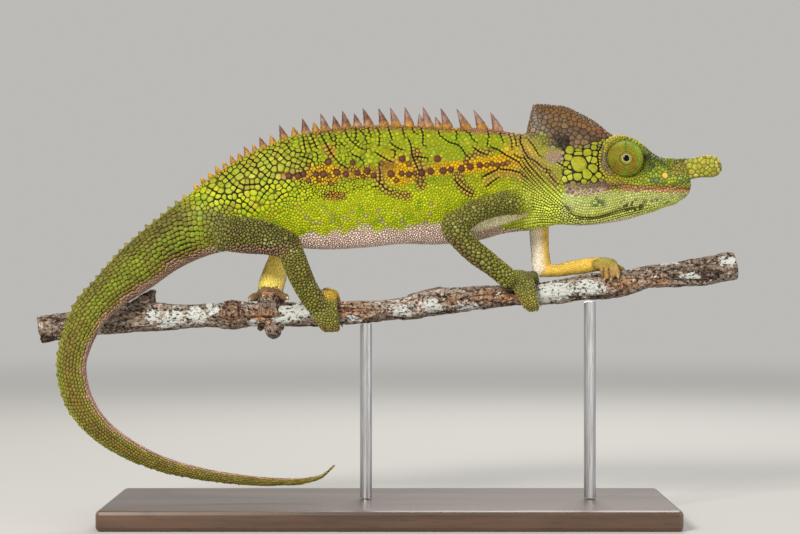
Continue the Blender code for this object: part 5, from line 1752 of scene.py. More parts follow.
def scale_material(name, roughness, edge):
    """Scales: their own tint, darker towards the edge, with fine mottling and a soft shine."""
    m = Mat(name)
    tint, rise = m.attribute("Tint"), m.attribute("Rise", "Fac")
    speck = m.noise(2600, 3)
    patch = m.noise(800, 2)
    grains = m.cells(2700)
    rim = m.spread(rise, 0.0, 0.72)
    base = m.times(tint, edge, 1 - rim)
    base = m.mix(m.spread(speck, 0.4, 0.7) * 0.4, base, m.times(tint, 1.4))
    base = m.mix(m.spread(patch, 0.48, 0.66) * 0.4, base, m.times(tint, 0.55))
    base = m.times(base, 0.55, m.spread(grains, 0.35, 0.75) * 0.45)
    return m.principled(
        Base_Color=base,
        Roughness=speck * 0.2 + (roughness - 0.1),
        Normal=m.bump(speck * 0.5 + patch * 0.2 - grains * 0.5, 0.00008, 0.8),
        Specular_IOR_Level=0.12,
    )


def skin_material(name):
    """Skin between the scales: dark, matt and finely creased."""
    m = Mat(name)
    tint = m.attribute("Tint")
    grain = m.cells(3600)
    crease = m.noise(1500, 4)
    base = m.mix(m.spread(crease, 0.35, 0.7) * 0.5, tint, m.times(tint, 1.5))
    return m.principled(
        Base_Color=base,
        Roughness=crease * 0.2 + 0.5,
        Normal=m.bump(grain * 0.6 + crease * 0.4, 0.00008, 0.8),
        Specular_IOR_Level=0.12,
    )


def crack_material(name):
    """Nearly black skin deep in the cracks."""
    m = Mat(name)
    grain = m.noise(1800, 3)
    return m.principled(
        Base_Color=m.mix(grain, rgba(20, 16, 8), rgba(46, 40, 20)), Roughness=grain * 0.2 + 0.6,
        Normal=m.bump(grain, 0.00005, 0.5), Specular_IOR_Level=0.1,
    )


FLESH = [
    "head", "jaw", "neck", "torso", "tail_root", "tail_upper", "tail_middle", "tail_lower", "tail_end",
    "casque", "left_upper_arm", "left_forearm", "left_front_foot", "left_thigh", "left_shin",
    "left_hind_foot", "right_upper_arm", "right_forearm", "right_front_foot", "right_thigh", "right_shin",
    "right_hind_foot",
]


class CHAMELEON_OT_skin(bpy.types.Operator):
    """Makes the one skin over all flesh, with its folds and its colours"""

    bl_idname = "chameleon.skin"
    bl_label = "Skin"

    def execute(self, context):
        obj = build_skin()
        whole = Field(SKIN.points, SKIN.normals, np.arange(len(SKIN.points)))
        _, gap = markings(whole)
        colour_attribute(obj.data, "Tint", gap)
        obj.data.materials.append(skin_material("Skin"))
        obj.data.shade_smooth()
        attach(obj, "root")
        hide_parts(*FLESH)
        return {"FINISHED"}


def add_scales(name, material, shells, points, tone, uv, chosen):
    """Scales as joined pieces, each under the limit of the coat's pieces."""
    each = sum(len(kind) * (kind.shape[1] - 2) for kind in shells[3])
    slices = max(1, math.ceil(len(chosen) * each / COAT_LIMIT))
    order = np.argsort(-points[chosen, 0])
    for number, part in enumerate(np.array_split(order, slices)):
        label = f"{name}_{number + 1}" if slices > 1 else name
        piece = scale_piece(label, tuple(v[part] for v in shells[:3]) + shells[3:], tone, uv, chosen[part])
        piece.data.materials.append(material)
        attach(piece, "root")


class CHAMELEON_OT_scales(bpy.types.Operator):
    """Spreads the scales over the skin and joins them into pieces"""

    bl_idname = "chameleon.scales"
    bl_label = "Scales"

    def execute(self, context):
        field, radius, limit, rng = place_scales()
        tone, _ = markings(field)
        tone = tone * rng.normal(1.0, 0.09, (len(tone), 1)) * rng.normal(1.0, 0.03, (len(tone), 3))
        tone = np.clip(tone, 0.003, 0.95)
        uv, gap, height = unwrap(field), gap_width(field), rise_height(field, radius)
        limb = field.limb("arm") | field.limb("thigh") | field.limb("shin") | field.limb("foot")
        large = radius > 0.5
        tail = field.named["body"] & (field.along > tail_distance() + 4)
        smooth, beads = scale_material("Scales", 0.42, 0.6), scale_material("Beads", 0.4, 0.4)
        square = scale_material("Tail scales", 0.45, 0.85)
        for name, mask, sides, levels, material in (
            ("tail_scales", tail, 10, [(1.0, -0.35), (0.93, 0.72)], square),
            ("plates", ~limb & ~tail & large, 12, [(1.0, -0.35), (0.93, 0.66), (0.68, 0.96)], smooth),
            ("body_scales", ~limb & ~tail & ~large, 8, [(1.0, -0.35), (0.88, 0.74)], smooth),
            ("leg_beads", limb, 8, [(1.0, -0.3), (0.88, 0.66)], beads),
        ):
            chosen = np.flatnonzero(mask)
            shells = shell(
                SKIN, field.points, field.normals, radius, gap, height, sides, levels, chosen,
                lambda mine, others: wider_gaps(field, mine, others), limit,
            )
            add_scales(name, material, shells, field.points, tone, uv, chosen)
        strips, chosen = crack_strips(field, radius)
        dark = np.tile(rgb(34, 29, 14), (len(field.points), 1))
        add_scales("cracks", crack_material("Crack"), strips, field.points, dark, uv, chosen)
        return {"FINISHED"}


def tube_surface(name, table, sides, every, grow, domes):
    """A tube as an object and a surface that scales can be set on."""
    rings, at = tube(table, sides, every, grow, domes)
    count = len(rings)
    obj = new_object(name, mesh_from(name, rings.reshape(-1, 3), tube_faces(count, sides)))
    obj.data.shade_smooth()
    surface = Surface()
    ring, turn = np.meshgrid(at, turns(sides), indexing="ij")
    surface.read(obj.data, np.zeros(count * sides, dtype=int), ring.ravel(), turn.ravel())
    return obj, surface


class CHAMELEON_OT_horn(bpy.types.Operator):
    """Makes the blunt horn on the snout, with its large tubercles"""

    bl_idname = "chameleon.horn"
    bl_label = "Horn"

    def execute(self, context):
        rng = np.random.default_rng(SEED + 2)
        obj, surface = tube_surface("horn_skin", HORN, 48, 0.25, -HORN_DEPTH, (False, True))
        below = Coat("horn", len(surface.points))
        below.lay(120, 90, 44, np.full(len(surface.points), 0.5))
        colour_attribute(obj.data, "Tint", below.values * 0.55)
        obj.data.materials.append(bpy.data.materials["Skin"])
        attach(obj, "root")
        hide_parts("horn")
        size = np.full(len(surface.points), HORN_SCALE)
        samples, wanted, count = sample_surface(surface, size, 9000, rng)
        centres = spread_out(samples, wanted, count, 6, rng)
        points, numbers = settled(surface, centres)
        normals = surface.normals[numbers]
        radius = 0.72 * rng.uniform(0.75, 1.25, len(points))
        bright = noise(points, 2.0, 41)
        tone = Coat("horn", len(points))
        tone.lay(206, 196, 110, step(-0.2, 0.6, bright))
        tone.lay(126, 116, 44, step(0.0, 0.7, noise(points, 1.4, 42)) * 0.6)
        tone.lay(180, 150, 54, step(0.0, 0.5, noise(points, 1.7, 43)) * 0.4)
        tone.lay(150, 118, 72, step(74.5, 72.0, points[:, 0]) * step(-0.2, 0.3, bright) * 0.7)
        chosen = np.arange(len(points))
        height = 0.168 + 0.084 * step(0.2, 0.9, np.abs(normals[:, 0]))
        shells = shell(
            surface, points, normals, radius, np.full(len(points), HORN_GAP), height, 14,
            [(1.0, -0.3), (0.9, 0.5), (0.65, 0.9)], chosen, None, 1.7,
        )
        where = surface.along[numbers] / surface.along.max()
        uv = np.column_stack([0.87 + 0.1 * where, 0.90 + 0.07 * surface.around[numbers] / (2 * math.pi)])
        beads = bpy.data.materials["Beads"]
        add_scales("horn_tubercles", beads, shells, points, tone.values, uv, chosen)
        return {"FINISHED"}


def eye_place(points, side):
    """Points of an eye's own frame, whose z points out of the head, in the model's frame."""
    x, y, z = EYE
    c, s = math.cos(EYE_TURN), math.sin(EYE_TURN)
    across, along, out = np.asarray(points, dtype=float).T
    return np.column_stack([x + across * c + out * s, side * (y + out * c - across * s), z + along])


def lathe(profile, sides, side):
    """A surface turned about an eye's axis, from its outer end inwards, with the faces outwards."""
    profile = np.array(profile, dtype=float)
    turn = turns(sides)
    radius, height = profile[:, :1], np.repeat(profile[:, 1:2], sides, axis=1)
    points = np.stack([radius * np.cos(turn), radius * np.sin(turn), height], axis=2).reshape(-1, 3)
    faces = tube_faces(len(profile), sides)
    if side > 0:
        faces = [tuple(reversed(face)) for face in faces]
    return points, faces


def turret_profile():
    """Radius and height of the cone of lids, from the edge of its opening to its root."""
    opening = [(0.94, 4.25), (0.96, 4.6), (1.02, 4.78), (1.12, 4.87), (1.28, 4.88), (1.5, 4.8), (1.8, 4.68)]
    dome = []
    for degrees in np.arange(26, 91, 3.2):
        angle = math.radians(degrees)
        dome.append(((EYE_RADIUS - 0.14) * math.sin(angle), (EYE_OUT - 0.16) * math.cos(angle)))
    root = [((EYE_RADIUS - 0.14) * math.cos(a), -EYE_IN * math.sin(a)) for a in np.radians([15, 35, 60, 80])]
    return opening + dome + root


def eye_markings(flat):
    """Colour of the lids at places across and along the eye, in millimetres, with painted light on the lower
    right and painted shade in the grooves between rings and near the edge.
    """
    radius = np.hypot(flat[:, 0], flat[:, 1])
    turn = np.degrees(np.arctan2(flat[:, 1], flat[:, 0]))
    spots = noise(np.column_stack([flat, np.zeros(len(flat))]), 1.1, 51, 2)
    tone = Coat("eye", len(flat))
    front = step(-80, 0, turn) * step(150, 100, np.abs(turn))
    tone.lay(164, 180, 46, step(2.2, 4.0, radius) * front * 0.85)
    tone.lay(146, 118, 46, step(-0.1, 0.5, spots) * 0.35)
    green = step(-0.2, 0.25, -spots) * step(1.6, 2.4, radius) * step(150, 80, np.abs(turn))
    tone.lay(108, 158, 40, green * 0.8)
    below = step(40, -20, turn) * step(-185, -165, turn)
    tone.lay(138, 94, 38, below * step(1.6, 2.4, radius) * step(-0.3, 0.4, spots) * 0.5)
    # Painted light: the lower right of the cone made brighter, against the shade on that side.
    tone.shade(1.5, step(-2.0, 3.5, flat[:, 0] - flat[:, 1]))
    # Darker rings every 0.6 mm, stronger on the lower, browner side: painted shade of the grooves between the
    # rings of lids.
    lines = step(0.35, 0.8, np.cos(radius * 2 * math.pi / 0.6))
    tone.shade(0.4, lines * (0.25 + 0.6 * below) * step(1.5, 2.0, radius))
    seam = step(0.22, 0.05, np.abs(flat[:, 0])) * step(1.2, 2.0, flat[:, 1]) * step(4.6, 3.8, flat[:, 1])
    tone.lay(98, 92, 34, seam * 0.7)
    tone.lay(186, 168, 110, step(1.3, 1.1, radius) * 0.9)
    tone.lay(92, 72, 34, step(1.3, 1.45, radius) * step(1.8, 1.6, radius) * 0.6)
    # A dark line near the cone's edge: painted shade of the groove round it.
    tone.lay(58, 54, 22, step(4.3, 4.5, radius) * 0.85)
    return tone.values


def lid_places(profile, rng):
    """Places of the small scales in rings round a cone of lids, and their shares of its length and turn."""
    path = np.array([row for row in profile if row[1] > -1.2 and row[0] > 1.05])
    where = walked(*path.T)
    centres, shares = [], []
    at = 0.16
    while at < where[-1] - 0.2:
        r, z = (float(np.interp(at, where, path[:, k])) for k in (0, 1))
        count = int(2 * math.pi * r / (LID_SCALE * 1.08))
        offset = rng.random()
        for k in range(count):
            turn = 2 * math.pi * (k + offset + rng.normal(0, LID_UNEVEN)) / count
            centres.append((r * math.cos(turn), r * math.sin(turn), z))
            shares.append((at / where[-1], turn % (2 * math.pi) / (2 * math.pi)))
        at += LID_SCALE
    return np.array(centres), np.array(shares)


def add_lids(side, word, rng):
    """The cone of lids of one eye, with its rings of small scales."""
    profile = turret_profile()
    own, faces = lathe(profile, 72, side)
    obj = new_object(f"{word}_lids", mesh_from(f"{word}_lids", eye_place(own, side), faces))
    obj.data.shade_smooth()
    surface = Surface()
    surface.read(obj.data, np.zeros(len(own), dtype=int), np.zeros(len(own)), np.zeros(len(own)))
    colour_attribute(obj.data, "Tint", eye_markings(own[:, :2]) * 0.42)
    obj.data.materials.append(bpy.data.materials["Skin"])
    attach(obj, "root")
    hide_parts(f"{word}_eye_turret")
    own, shares = lid_places(profile, rng)
    points, numbers = settled(surface, eye_place(own, side))
    radius = LID_SCALE / 2 * rng.uniform(0.9, 1.1, len(own))
    tone = np.clip(eye_markings(own[:, :2]) * rng.normal(1, 0.08, (len(own), 1)), 0.003, 0.9)
    chosen = np.arange(len(points))
    shells = shell(
        surface, points, surface.normals[numbers], radius, np.full(len(points), LID_GAP),
        0.03 + radius * 0.25, 8, [(1.0, -0.3), (0.76, 0.7)], chosen,
    )
    uv = [0.7 if side < 0 else 0.8, 0.86] + np.array([0.08, 0.1]) * shares
    beads = bpy.data.materials["Beads"]
    add_scales(f"{word}_lid_scales", beads, shells, points, tone, uv, chosen)


def add_eyeball(side, word, glossy):
    """An eyeball with a dark pupil, a pale ring and a brown rim."""
    ball = [
        (EYEBALL_RADIUS * math.sin(a), EYEBALL_OUT + EYEBALL_RADIUS * math.cos(a))
        for a in np.radians(EYEBALL_RINGS)
    ]
    own, faces = lathe(ball, 40, side)
    eye = new_object(f"{word}_eye", mesh_from(f"{word}_eye", eye_place(own, side), faces))
    eye.data.shade_smooth()
    reach = np.hypot(own[:, 0], own[:, 1])
    tone = Coat(np.tile(rgb(8, 7, 6), (len(own), 1)))
    tone.lay(206, 190, 140, step(0.80, 0.86, reach))
    tone.lay(120, 90, 40, step(1.05, 1.25, reach))
    colour_attribute(eye.data, "Tint", tone.values)
    eye.data.materials.append(glossy)
    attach(eye, "root")
    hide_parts(f"{word}_eyeball")


class CHAMELEON_OT_eyes(bpy.types.Operator):
    """Makes the cones of lids, with their rings of small scales, and the eyeballs"""

    bl_idname = "chameleon.eyes"
    bl_label = "Eyes"

    def execute(self, context):
        rng = np.random.default_rng(SEED + 3)
        glossy = eye_material("Eyeball")
        for side, word in ((-1, "right"), (1, "left")):
            add_lids(side, word, rng)
            add_eyeball(side, word, glossy)
        return {"FINISHED"}


def eye_material(name):
    m = Mat(name)
    tint = m.attribute("Tint")
    grain = m.noise(4200, 2)
    return m.principled(
        Base_Color=m.mix(m.spread(grain, 0.4, 0.7) * 0.3, tint, m.times(tint, 0.5)),
        Roughness=grain * 0.03 + 0.05, Specular_IOR_Level=0.14,
    )


def ridge_at(at):
    """Points of the ridge of the back, with the directions across, tailwards and upwards."""
    middle, forward, side, up = frames_along(BODY, at)
    return middle + up * smooth_rows(BODY, at)[:, 4:5], side, forward, up


def cone_strip(rows, sides):
    """Rings of a bent cone: rows hold a centre, two directions across it and a radius for each."""
    turn = turns(sides)
    points = []
    for centre, first, second, a, b in rows:
        points.append(centre + np.outer(np.cos(turn), first) * a + np.outer(np.sin(turn), second) * b)
    return np.concatenate(points)


class Joined:
    """Collects many small closed forms into one mesh, with colours and a bake map."""

    def __init__(self):
        self.points, self.faces, self.tone, self.rise, self.uv = [], [], [], [], []
        self.count = 0

    def add(self, rings, sides, tone, rise, centre_uv):
        number = len(rings) // sides
        self.faces.extend(tube_faces(number, sides, self.count))
        self.points.append(rings)
        self.tone.append(np.broadcast_to(tone, (len(rings), 3)))
        self.rise.append(rise)
        turn = np.tile(turns(sides), number)
        share = np.repeat(np.linspace(1, 0.05, number), sides)
        local = np.stack([np.cos(turn), np.sin(turn)], axis=1) * share[:, None] * PATCH / 2
        self.uv.append(np.asarray(centre_uv) + local)
        self.count += len(rings)

    def finish(self, name, material):
        mesh = mesh_from(name, np.concatenate(self.points), self.faces)
        colour_attribute(mesh, "Tint", np.clip(np.concatenate(self.tone), 0.003, 0.95))
        number_attribute(mesh, "Rise", np.concatenate(self.rise))
        uv = np.concatenate(self.uv)
        index = np.empty(len(mesh.loops), dtype=np.int64)
        mesh.loops.foreach_get("vertex_index", index)
        mesh.uv_layers.new(name="OFBake").data.foreach_set("uv", uv[index].ravel())
        mesh.shade_smooth()
        obj = new_object(name, mesh)
        obj.data.materials.append(material)
        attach(obj, "root")
        return obj


SPINE_LEAN = 0.16
SPINE_ROOT = 0.91
SPINE_FOOT = 0.62
SPINE_FOOT_PART = 0.13
SPINE_FLATNESS = 0.72
SPINE_SIDES = 12
SPINE_LEVELS = 9
CREST_START = 14.15
CREST_END = 33
TAIL_SPINE_STEP = 2.1


def crest_spots():
    """Every spine of the crest: its distance along the body, and how far it rises."""
    where = distances(BODY)
    torso = (float(np.interp(CREST_START, range(len(where)), where)), where[TAIL_START])
    at = np.linspace(*torso, 400)
    ridge = ridge_at(at)[0][:, 0]
    spots = [(float(np.interp(-x, -ridge, at)), height) for x, height in CREST]
    tail = (where[TAIL_START], where[CREST_END])
    count = int((tail[1] - tail[0]) / TAIL_SPINE_STEP)
    rng = np.random.default_rng(SEED + 4)
    for k in range(count):
        t = (k + 0.5) / count
        height = float(np.interp(t, [0, 0.35, 1], [1.25, 0.8, 0.3])) * rng.uniform(0.85, 1.15)
        spots.append((tail[0] + (tail[1] - tail[0]) * t, height))
    return spots


def spine_rings(distance, height, lean):
    """Rings of a bent spine, with the point of the ridge that it stands on and the way up there."""
    ridge, side, tailwards, up = (v[0] for v in ridge_at([distance]))
    foot = (SPINE_FOOT + SPINE_FOOT_PART * height) * 1.06
    rows = []
    for t in np.linspace(0, 1, SPINE_LEVELS):
        rise = -SPINE_ROOT + (height + SPINE_ROOT) * t
        over = min(1.0, max(0.0, rise) / height)
        centre = ridge + up * (rise * 0.99) + tailwards * (lean * rise + 0.10 * height * over**2)
        radius = foot * (1 - over) ** 0.88 * (1.0 + 0.06 * math.sin(t * 21 + distance)) + 0.035
        rows.append((centre, tailwards, side, radius * 1.04, radius * SPINE_FLATNESS))
    return cone_strip(rows, SPINE_SIDES), ridge, up


def spine_tone(distance, height, forward):
    """Colour of a spine that stands at a place of the back, and how far up it each point lies."""
    over = np.clip((np.linspace(0, 1, SPINE_LEVELS) * (height + 0.9) - 0.9) / height, 0, 1)
    over = np.repeat(over, SPINE_SIDES)
    tall = step(1.6, 3.2, np.full(len(over), height))
    turn = np.tile(turns(SPINE_SIDES), SPINE_LEVELS)
    streak = noise(np.column_stack([turn * 0.8, over * 1.2, over * 0 + distance]), 0.7, 31, 2)
    tone = Coat("spine_root", len(over))
    tone.lay(122, 82, 40, step(0.05, 0.35, over))
    tone.over(colour_of("spine"), step(0.12, 0.45, over + streak * 0.12) * tall)
    tone.lay(150, 122, 110, step(0.0, 0.5, streak) * tall * 0.7)
    tone.lay(158, 128, 116, step(0.1, 0.4, over) * float(step(-10, 12, forward)) * 0.55)
    tone.lay(94, 52, 38, step(0.05, -0.6, streak) * tall * step(0.1, 0.3, over) * 0.85)
    tone.lay(116, 82, 68, step(0.75, 1.0, over) * tall)
    tone.lay(184, 142, 44, (1 - tall) * step(-0.4, 0.6, over) * (forward < -15) * 0.85)
    if forward < -52:
        tone.lay(122, 124, 50, np.full(len(over), 0.85))
    return tone.values, over


class CHAMELEON_OT_crest(bpy.types.Operator):
    """Makes the crest of spines along the back and the low cones behind it"""

    bl_idname = "chameleon.crest"
    bl_label = "Crest"

    def execute(self, context):
        rng = np.random.default_rng(SEED + 5)
        joined = Joined()
        for distance, height in crest_spots():
            rings, ridge, up = spine_rings(distance, height, SPINE_LEAN + rng.normal(0, 0.03))
            tone, over = spine_tone(distance, height, ridge[0])
            tone = tone * rng.normal(1, 0.06)
            place = Field(ridge[None], up[None], np.array([settle(SKIN, ridge)[1]]))
            joined.add(rings, SPINE_SIDES, tone, 0.4 + 0.6 * over, unwrap(place)[0])
        joined.finish("crest_spines", spine_material("Spines"))
        return {"FINISHED"}


def spine_material(name):
    """Horny spines with fine lengthwise ridges."""
    m = Mat(name)
    tint = m.attribute("Tint")
    grain = m.noise(1900, 4)
    ridges = m.noise(900, 5, 0.7)
    base = m.mix(m.spread(ridges, 0.42, 0.6) * 0.75, tint, m.times(tint, (0.42, 0.28, 0.2, 1.0)))
    return m.principled(
        Base_Color=base, Roughness=grain * 0.2 + 0.35, Specular_IOR_Level=0.25,
        Normal=m.bump(ridges * 0.6 + grain * 0.4, 0.00012, 0.8),
    )


CLAW_SIDES = 10
CLAW_LEVELS = 8


def claw_rings(toe, long):
    """Rings of a claw that curls from a toe's tip towards the branch."""
    table = np.array(toe_table(toe))
    tip, before, width = table[-1][:3], table[-2][:3], table[-1][3]
    way = unit(tip - before)
    inward = unit(np.array([0.0, -tip[1], branch_at(tip[0])[0] - tip[2]]))
    first = unit(np.cross(way, inward))
    root = tip + way * (width * 0.35)
    rows = []
    for t in np.linspace(0, 1, CLAW_LEVELS):
        centre = root + way * (t * (width * 0.6 + long)) + inward * (0.42 * t * t - 0.02)
        second = unit(np.cross(first, unit(way + inward * 0.5 * t)))
        radius = width * 0.5 * (1 - t) ** 0.75 + 0.05
        rows.append((centre, first, second, radius * 0.8, radius))
    return cone_strip(rows, CLAW_SIDES)


class CHAMELEON_OT_claws(bpy.types.Operator):
    """Makes a curved claw at the tip of every toe"""

    bl_idname = "chameleon.claws"
    bl_label = "Claws"

    def execute(self, context):
        joined = Joined()
        over = np.repeat(np.linspace(0, 1, CLAW_LEVELS), CLAW_SIDES)
        tone = Coat("claw", len(over))
        tone.lay(96, 74, 50, step(0.5, 1.0, over) * 0.8)
        toes = [(foot, toe) for foot, (_, _, row) in FEET.items() for toe in row]
        for number, (foot, toe) in enumerate(toes):
            long = CLAW_LENGTH * (0.35 if foot.startswith("left") else 0.95)
            corner = (0.71 + 0.012 * (number % 20), 0.985)
            joined.add(claw_rings(toe, long), CLAW_SIDES, tone.values, 0.5 + 0.5 * over, corner)
        joined.finish("claws", claw_material("Claw horn"))
        return {"FINISHED"}


def claw_material(name):
    m = Mat(name)
    tint = m.attribute("Tint")
    grain = m.noise(1600, 4)
    base = m.mix(m.spread(grain, 0.4, 0.7) * 0.5, tint, m.times(tint, 0.55))
    return m.principled(
        Base_Color=base, Roughness=grain * 0.15 + 0.22, Normal=m.bump(grain, 0.00004, 0.5), Coat_Weight=0.2
    )


# Patches of lichen and of rusty bark on the plan: X, Y, half sizes.
LICHEN = [
    (174, 318, 20, 9), (196, 315, 14, 8), (212, 310, 8, 8), (153, 316, 7, 6), (296, 312, 15, 10),
    (282, 320, 8, 5), (555, 292, 20, 9), (588, 288, 16, 8), (536, 297, 9, 6), (432, 306, 10, 7),
    (402, 311, 12, 6), (352, 318, 9, 4), (92, 334, 12, 5), (728, 262, 8, 5), (690, 276, 9, 4),
    (470, 308, 12, 4), (254, 324, 5, 4),
]
RUST = [
    (350, 311, 24, 7), (498, 298, 24, 7), (450, 300, 12, 4), (625, 283, 16, 6), (660, 280, 14, 5),
    (262, 316, 14, 6),
]


def twig_stub(start, end, foot, tip):
    """Rings of a cut twig, from its foot to its rounded tip."""
    start, end = np.array(start), np.array(end)
    way = end - start
    length = np.linalg.norm(way)
    way = way / length
    first = unit(np.cross(way, np.array([0.0, 1.0, 0.0])))
    rows = []
    for t in np.linspace(0, 1, 10):
        radius = (foot + (tip - foot) * t - 0.2) * math.sqrt(1 - 0.8 * (max(0, t - 0.6) / 0.4) ** 2)
        rows.append((start + way * (length - 0.1) * t, first, np.cross(way, first), radius, radius))
    return cone_strip(rows, 32).reshape(10, 32, 3)


def branch_object():
    """The branch and its twig stubs in one closed skin."""
    table = [(x, 0, z, r, r, r, 1, 1) for x, z, r in BRANCH]
    points, faces, count = [], [], 0
    stem = tube(table, 56, 0.7, -BARK_DEPTH, (False, False))[0]
    for rings in (stem, *(twig_stub(*stub) for stub in TWIG_STUBS)):
        faces.extend(tube_faces(len(rings), rings.shape[1], count))
        points.append(rings.reshape(-1, 3))
        count += len(points[-1])
    obj = new_object("branch", mesh_from("branch", np.concatenate(points), faces))
    obj.data.shade_smooth()
    baked(
        obj,
        ("REMESH", {"mode": "VOXEL", "voxel_size": BARK_VOXEL * MM, "use_smooth_shade": True}),
        ("SMOOTH", {"factor": 0.5, "iterations": 4}),
    )
    return obj


def bark_relief(place, fibre, cracks):
    """How far the bark rises or sinks at each point, in millimetres."""
    relief = noise(fibre, 1.5, 61, 3) * 0.7 + noise(place, 6.0, 62, 2) * 0.5
    relief += noise(place, 0.9, 63) * 0.35
    relief -= step(0.12, 0.0, cracks) * 0.9
    flakes = step(0.15, 0.25, noise(place * np.array([0.45, 1, 1]), 2.8, 65, 2)) * 0.6
    return np.clip((relief + flakes) * bpy.context.scene.chameleon_sizes.bark_relief, -0.75, 0.40)


def bark_marks(place, normals, fibre, cracks):
    """Share of lichen and colour of the bark at each point."""
    plan = plan_of(place)
    lichen, rust = np.zeros(len(place)), np.zeros(len(place))
    wander = noise(place, 1.5, 66, 3)
    for table, target in ((LICHEN, lichen), (RUST, rust)):
        for x, y, rx, ry in table:
            away = np.hypot((plan[:, 0] - x) / rx, (plan[:, 1] - y) / ry)
            np.maximum(target, step(1.6, 0.35, away + wander * 0.5), out=target)
    others = step(0.2, 0.5, noise(place * np.array([0.5, 1, 1]), 5.0, 67, 3)) * 0.65
    lichen = np.maximum(lichen, others * step(-0.3, 0.6, normals[:, 2] + normals[:, 1]))
    tone = Coat("bark", len(place))
    tone.lay(166, 152, 140, step(-0.1, 0.5, noise(fibre, 2.2, 68, 2)) * 0.7)
    tone.lay(112, 92, 76, step(0.1, 0.6, noise(fibre, 1.8, 69, 2)) * 0.6)
    tone.lay(150, 108, 70, rust * 0.75)
    tone.lay(50, 38, 30, step(0.1, 0.02, cracks) * 0.85)
    # The knot behind the hind feet, with its rings, and the pale cut end of the stub beside it.
    knot = np.hypot(plan[:, 0] - 232, (plan[:, 1] - 311) * 1.1)
    tone.lay(120, 92, 70, step(14, 11, knot) * 0.7)
    rings = step(0.2, 0.9, np.cos(knot * 1.9 + wander * 2))
    tone.lay(44, 32, 24, step(14, 12, knot) * rings * 0.8)
    stub = step(55.4, 56.4, place[:, 2]) * (np.abs(place[:, 0] + 30) < 6)
    tone.lay(166, 128, 96, stub)
    return lichen * step(11, 14, knot), np.clip(tone.values, 0.003, 0.9)


class CHAMELEON_OT_branch(bpy.types.Operator):
    """Makes the branch with its knots, bark and lichen"""

    bl_idname = "chameleon.branch"
    bl_label = "Branch"

    def execute(self, context):
        obj = branch_object()
        mesh = obj.data
        place, normals = read_points(mesh)
        fibre = place * np.array([0.16, 1.0, 1.0])
        cracks = np.abs(noise(place * np.array([0.12, 1, 1]), 1.9, 64, 2))
        write_points(mesh, place + normals * bark_relief(place, fibre, cracks)[:, None])
        lichen, tone = bark_marks(place, normals, fibre, cracks)
        number_attribute(mesh, "Lichen", lichen)
        colour_attribute(mesh, "Tint", tone)
        mesh.materials.append(bark_material("Bark"))
        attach(obj, "root")
        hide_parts("perch_branch")
        return {"FINISHED"}


def bark_material(name):
    """Flaking bark with dark flecks, and pale lichen with ragged edges and dark specks."""
    m = Mat(name)
    tint, patches = m.attribute("Tint"), m.attribute("Lichen", "Fac")
    along = m.stretched(0.75, 1.0, 1.0)
    flakes = m.noise(620, 6, 0.75, along)
    flecks = m.noise(1500, 4, 0.6, along)
    chips = m.noise(1150, 4, 0.6, along)
    fine = m.noise(3800, 3)
    base = m.mix(m.spread(flakes, 0.49, 0.56), tint, m.times(tint, (0.42, 0.34, 0.28, 1.0)))
    base = m.mix(m.spread(chips, 0.45, 0.41) * 0.9, base, m.times(tint, (1.8, 1.8, 1.82, 1.0)))
    base = m.mix(m.spread(flecks, 0.53, 0.57), base, m.times(tint, (0.14, 0.11, 0.09, 1.0)))
    ragged = m.spread(patches + (flakes - 0.5) * 3.0 + (chips - 0.5) * 2.4, 0.47, 0.52)
    pale = tuple(bpy.context.scene.chameleon_colours.lichen)
    crust = m.mix(m.spread(fine, 0.35, 0.7) * 0.5, pale, rgba(150, 152, 144))
    crust = m.mix(m.spread(flecks, 0.55, 0.58) * 0.9, crust, rgba(48, 42, 36))
    base = m.mix(ragged, base, crust)
    base = m.mix(m.spread(fine, 0.5, 0.8) * 0.3, base, m.times(base, 1.4))
    return m.principled(
        Base_Color=base, Roughness=0.75 + fine * 0.2,
        Normal=m.bump(ragged * 0.5 - flakes * 0.8 - flecks * 0.5 + fine * 0.2, 0.0005, 0.9),
        Specular_IOR_Level=0.2,
    )


class CHAMELEON_OT_stand(bpy.types.Operator):
    """Gives the stand's base and rods their finishes"""

    bl_idname = "chameleon.stand"
    bl_label = "Stand"

    def execute(self, context):
        wood, steel = wood_material("Stand wood"), steel_material("Stand steel")
        for name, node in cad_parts.items():
            if name.startswith("stand_"):
                material = wood if name == "stand_base" else steel
                for slot in node.material_slots:
                    slot.material = material
        return {"FINISHED"}


def wood_material(name):
    """Oiled dark wood with long grain and pores."""
    m = Mat(name)
    stretched = m.stretched(12.0, 150.0, 150.0)
    grain = m.noise(1.0, 6, 0.6, stretched)
    pores = m.noise(9.0, 3, 0.6, stretched)
    colour = tuple(bpy.context.scene.chameleon_colours.wood)
    dark, light = (tuple(v * f for v in colour[:3]) + (1.0,) for f in (0.55, 1.7))
    base = m.mix(m.spread(grain, 0.3, 0.7), dark, light)
    base = m.mix(m.spread(pores, 0.55, 0.75) * 0.7, base, dark)
    return m.principled(
        Base_Color=base, Roughness=grain * 0.15 + 0.3, Normal=m.bump(pores, 0.00006, 0.5), Coat_Weight=0.25,
        Coat_Roughness=0.2,
    )


def steel_material(name):
    """Brushed steel rod."""
    m = Mat(name)
    stretched = m.stretched(3000.0, 3000.0, 120.0)
    brush = m.noise(1.0, 4, 0.6, stretched)
    base = m.mix(m.spread(brush, 0.3, 0.7), (0.42, 0.42, 0.43, 1), (0.62, 0.62, 0.63, 1))
    return m.principled(
        Base_Color=base, Metallic=1.0, Roughness=brush * 0.15 + 0.25, Normal=m.bump(brush, 0.00002, 0.4)
    )


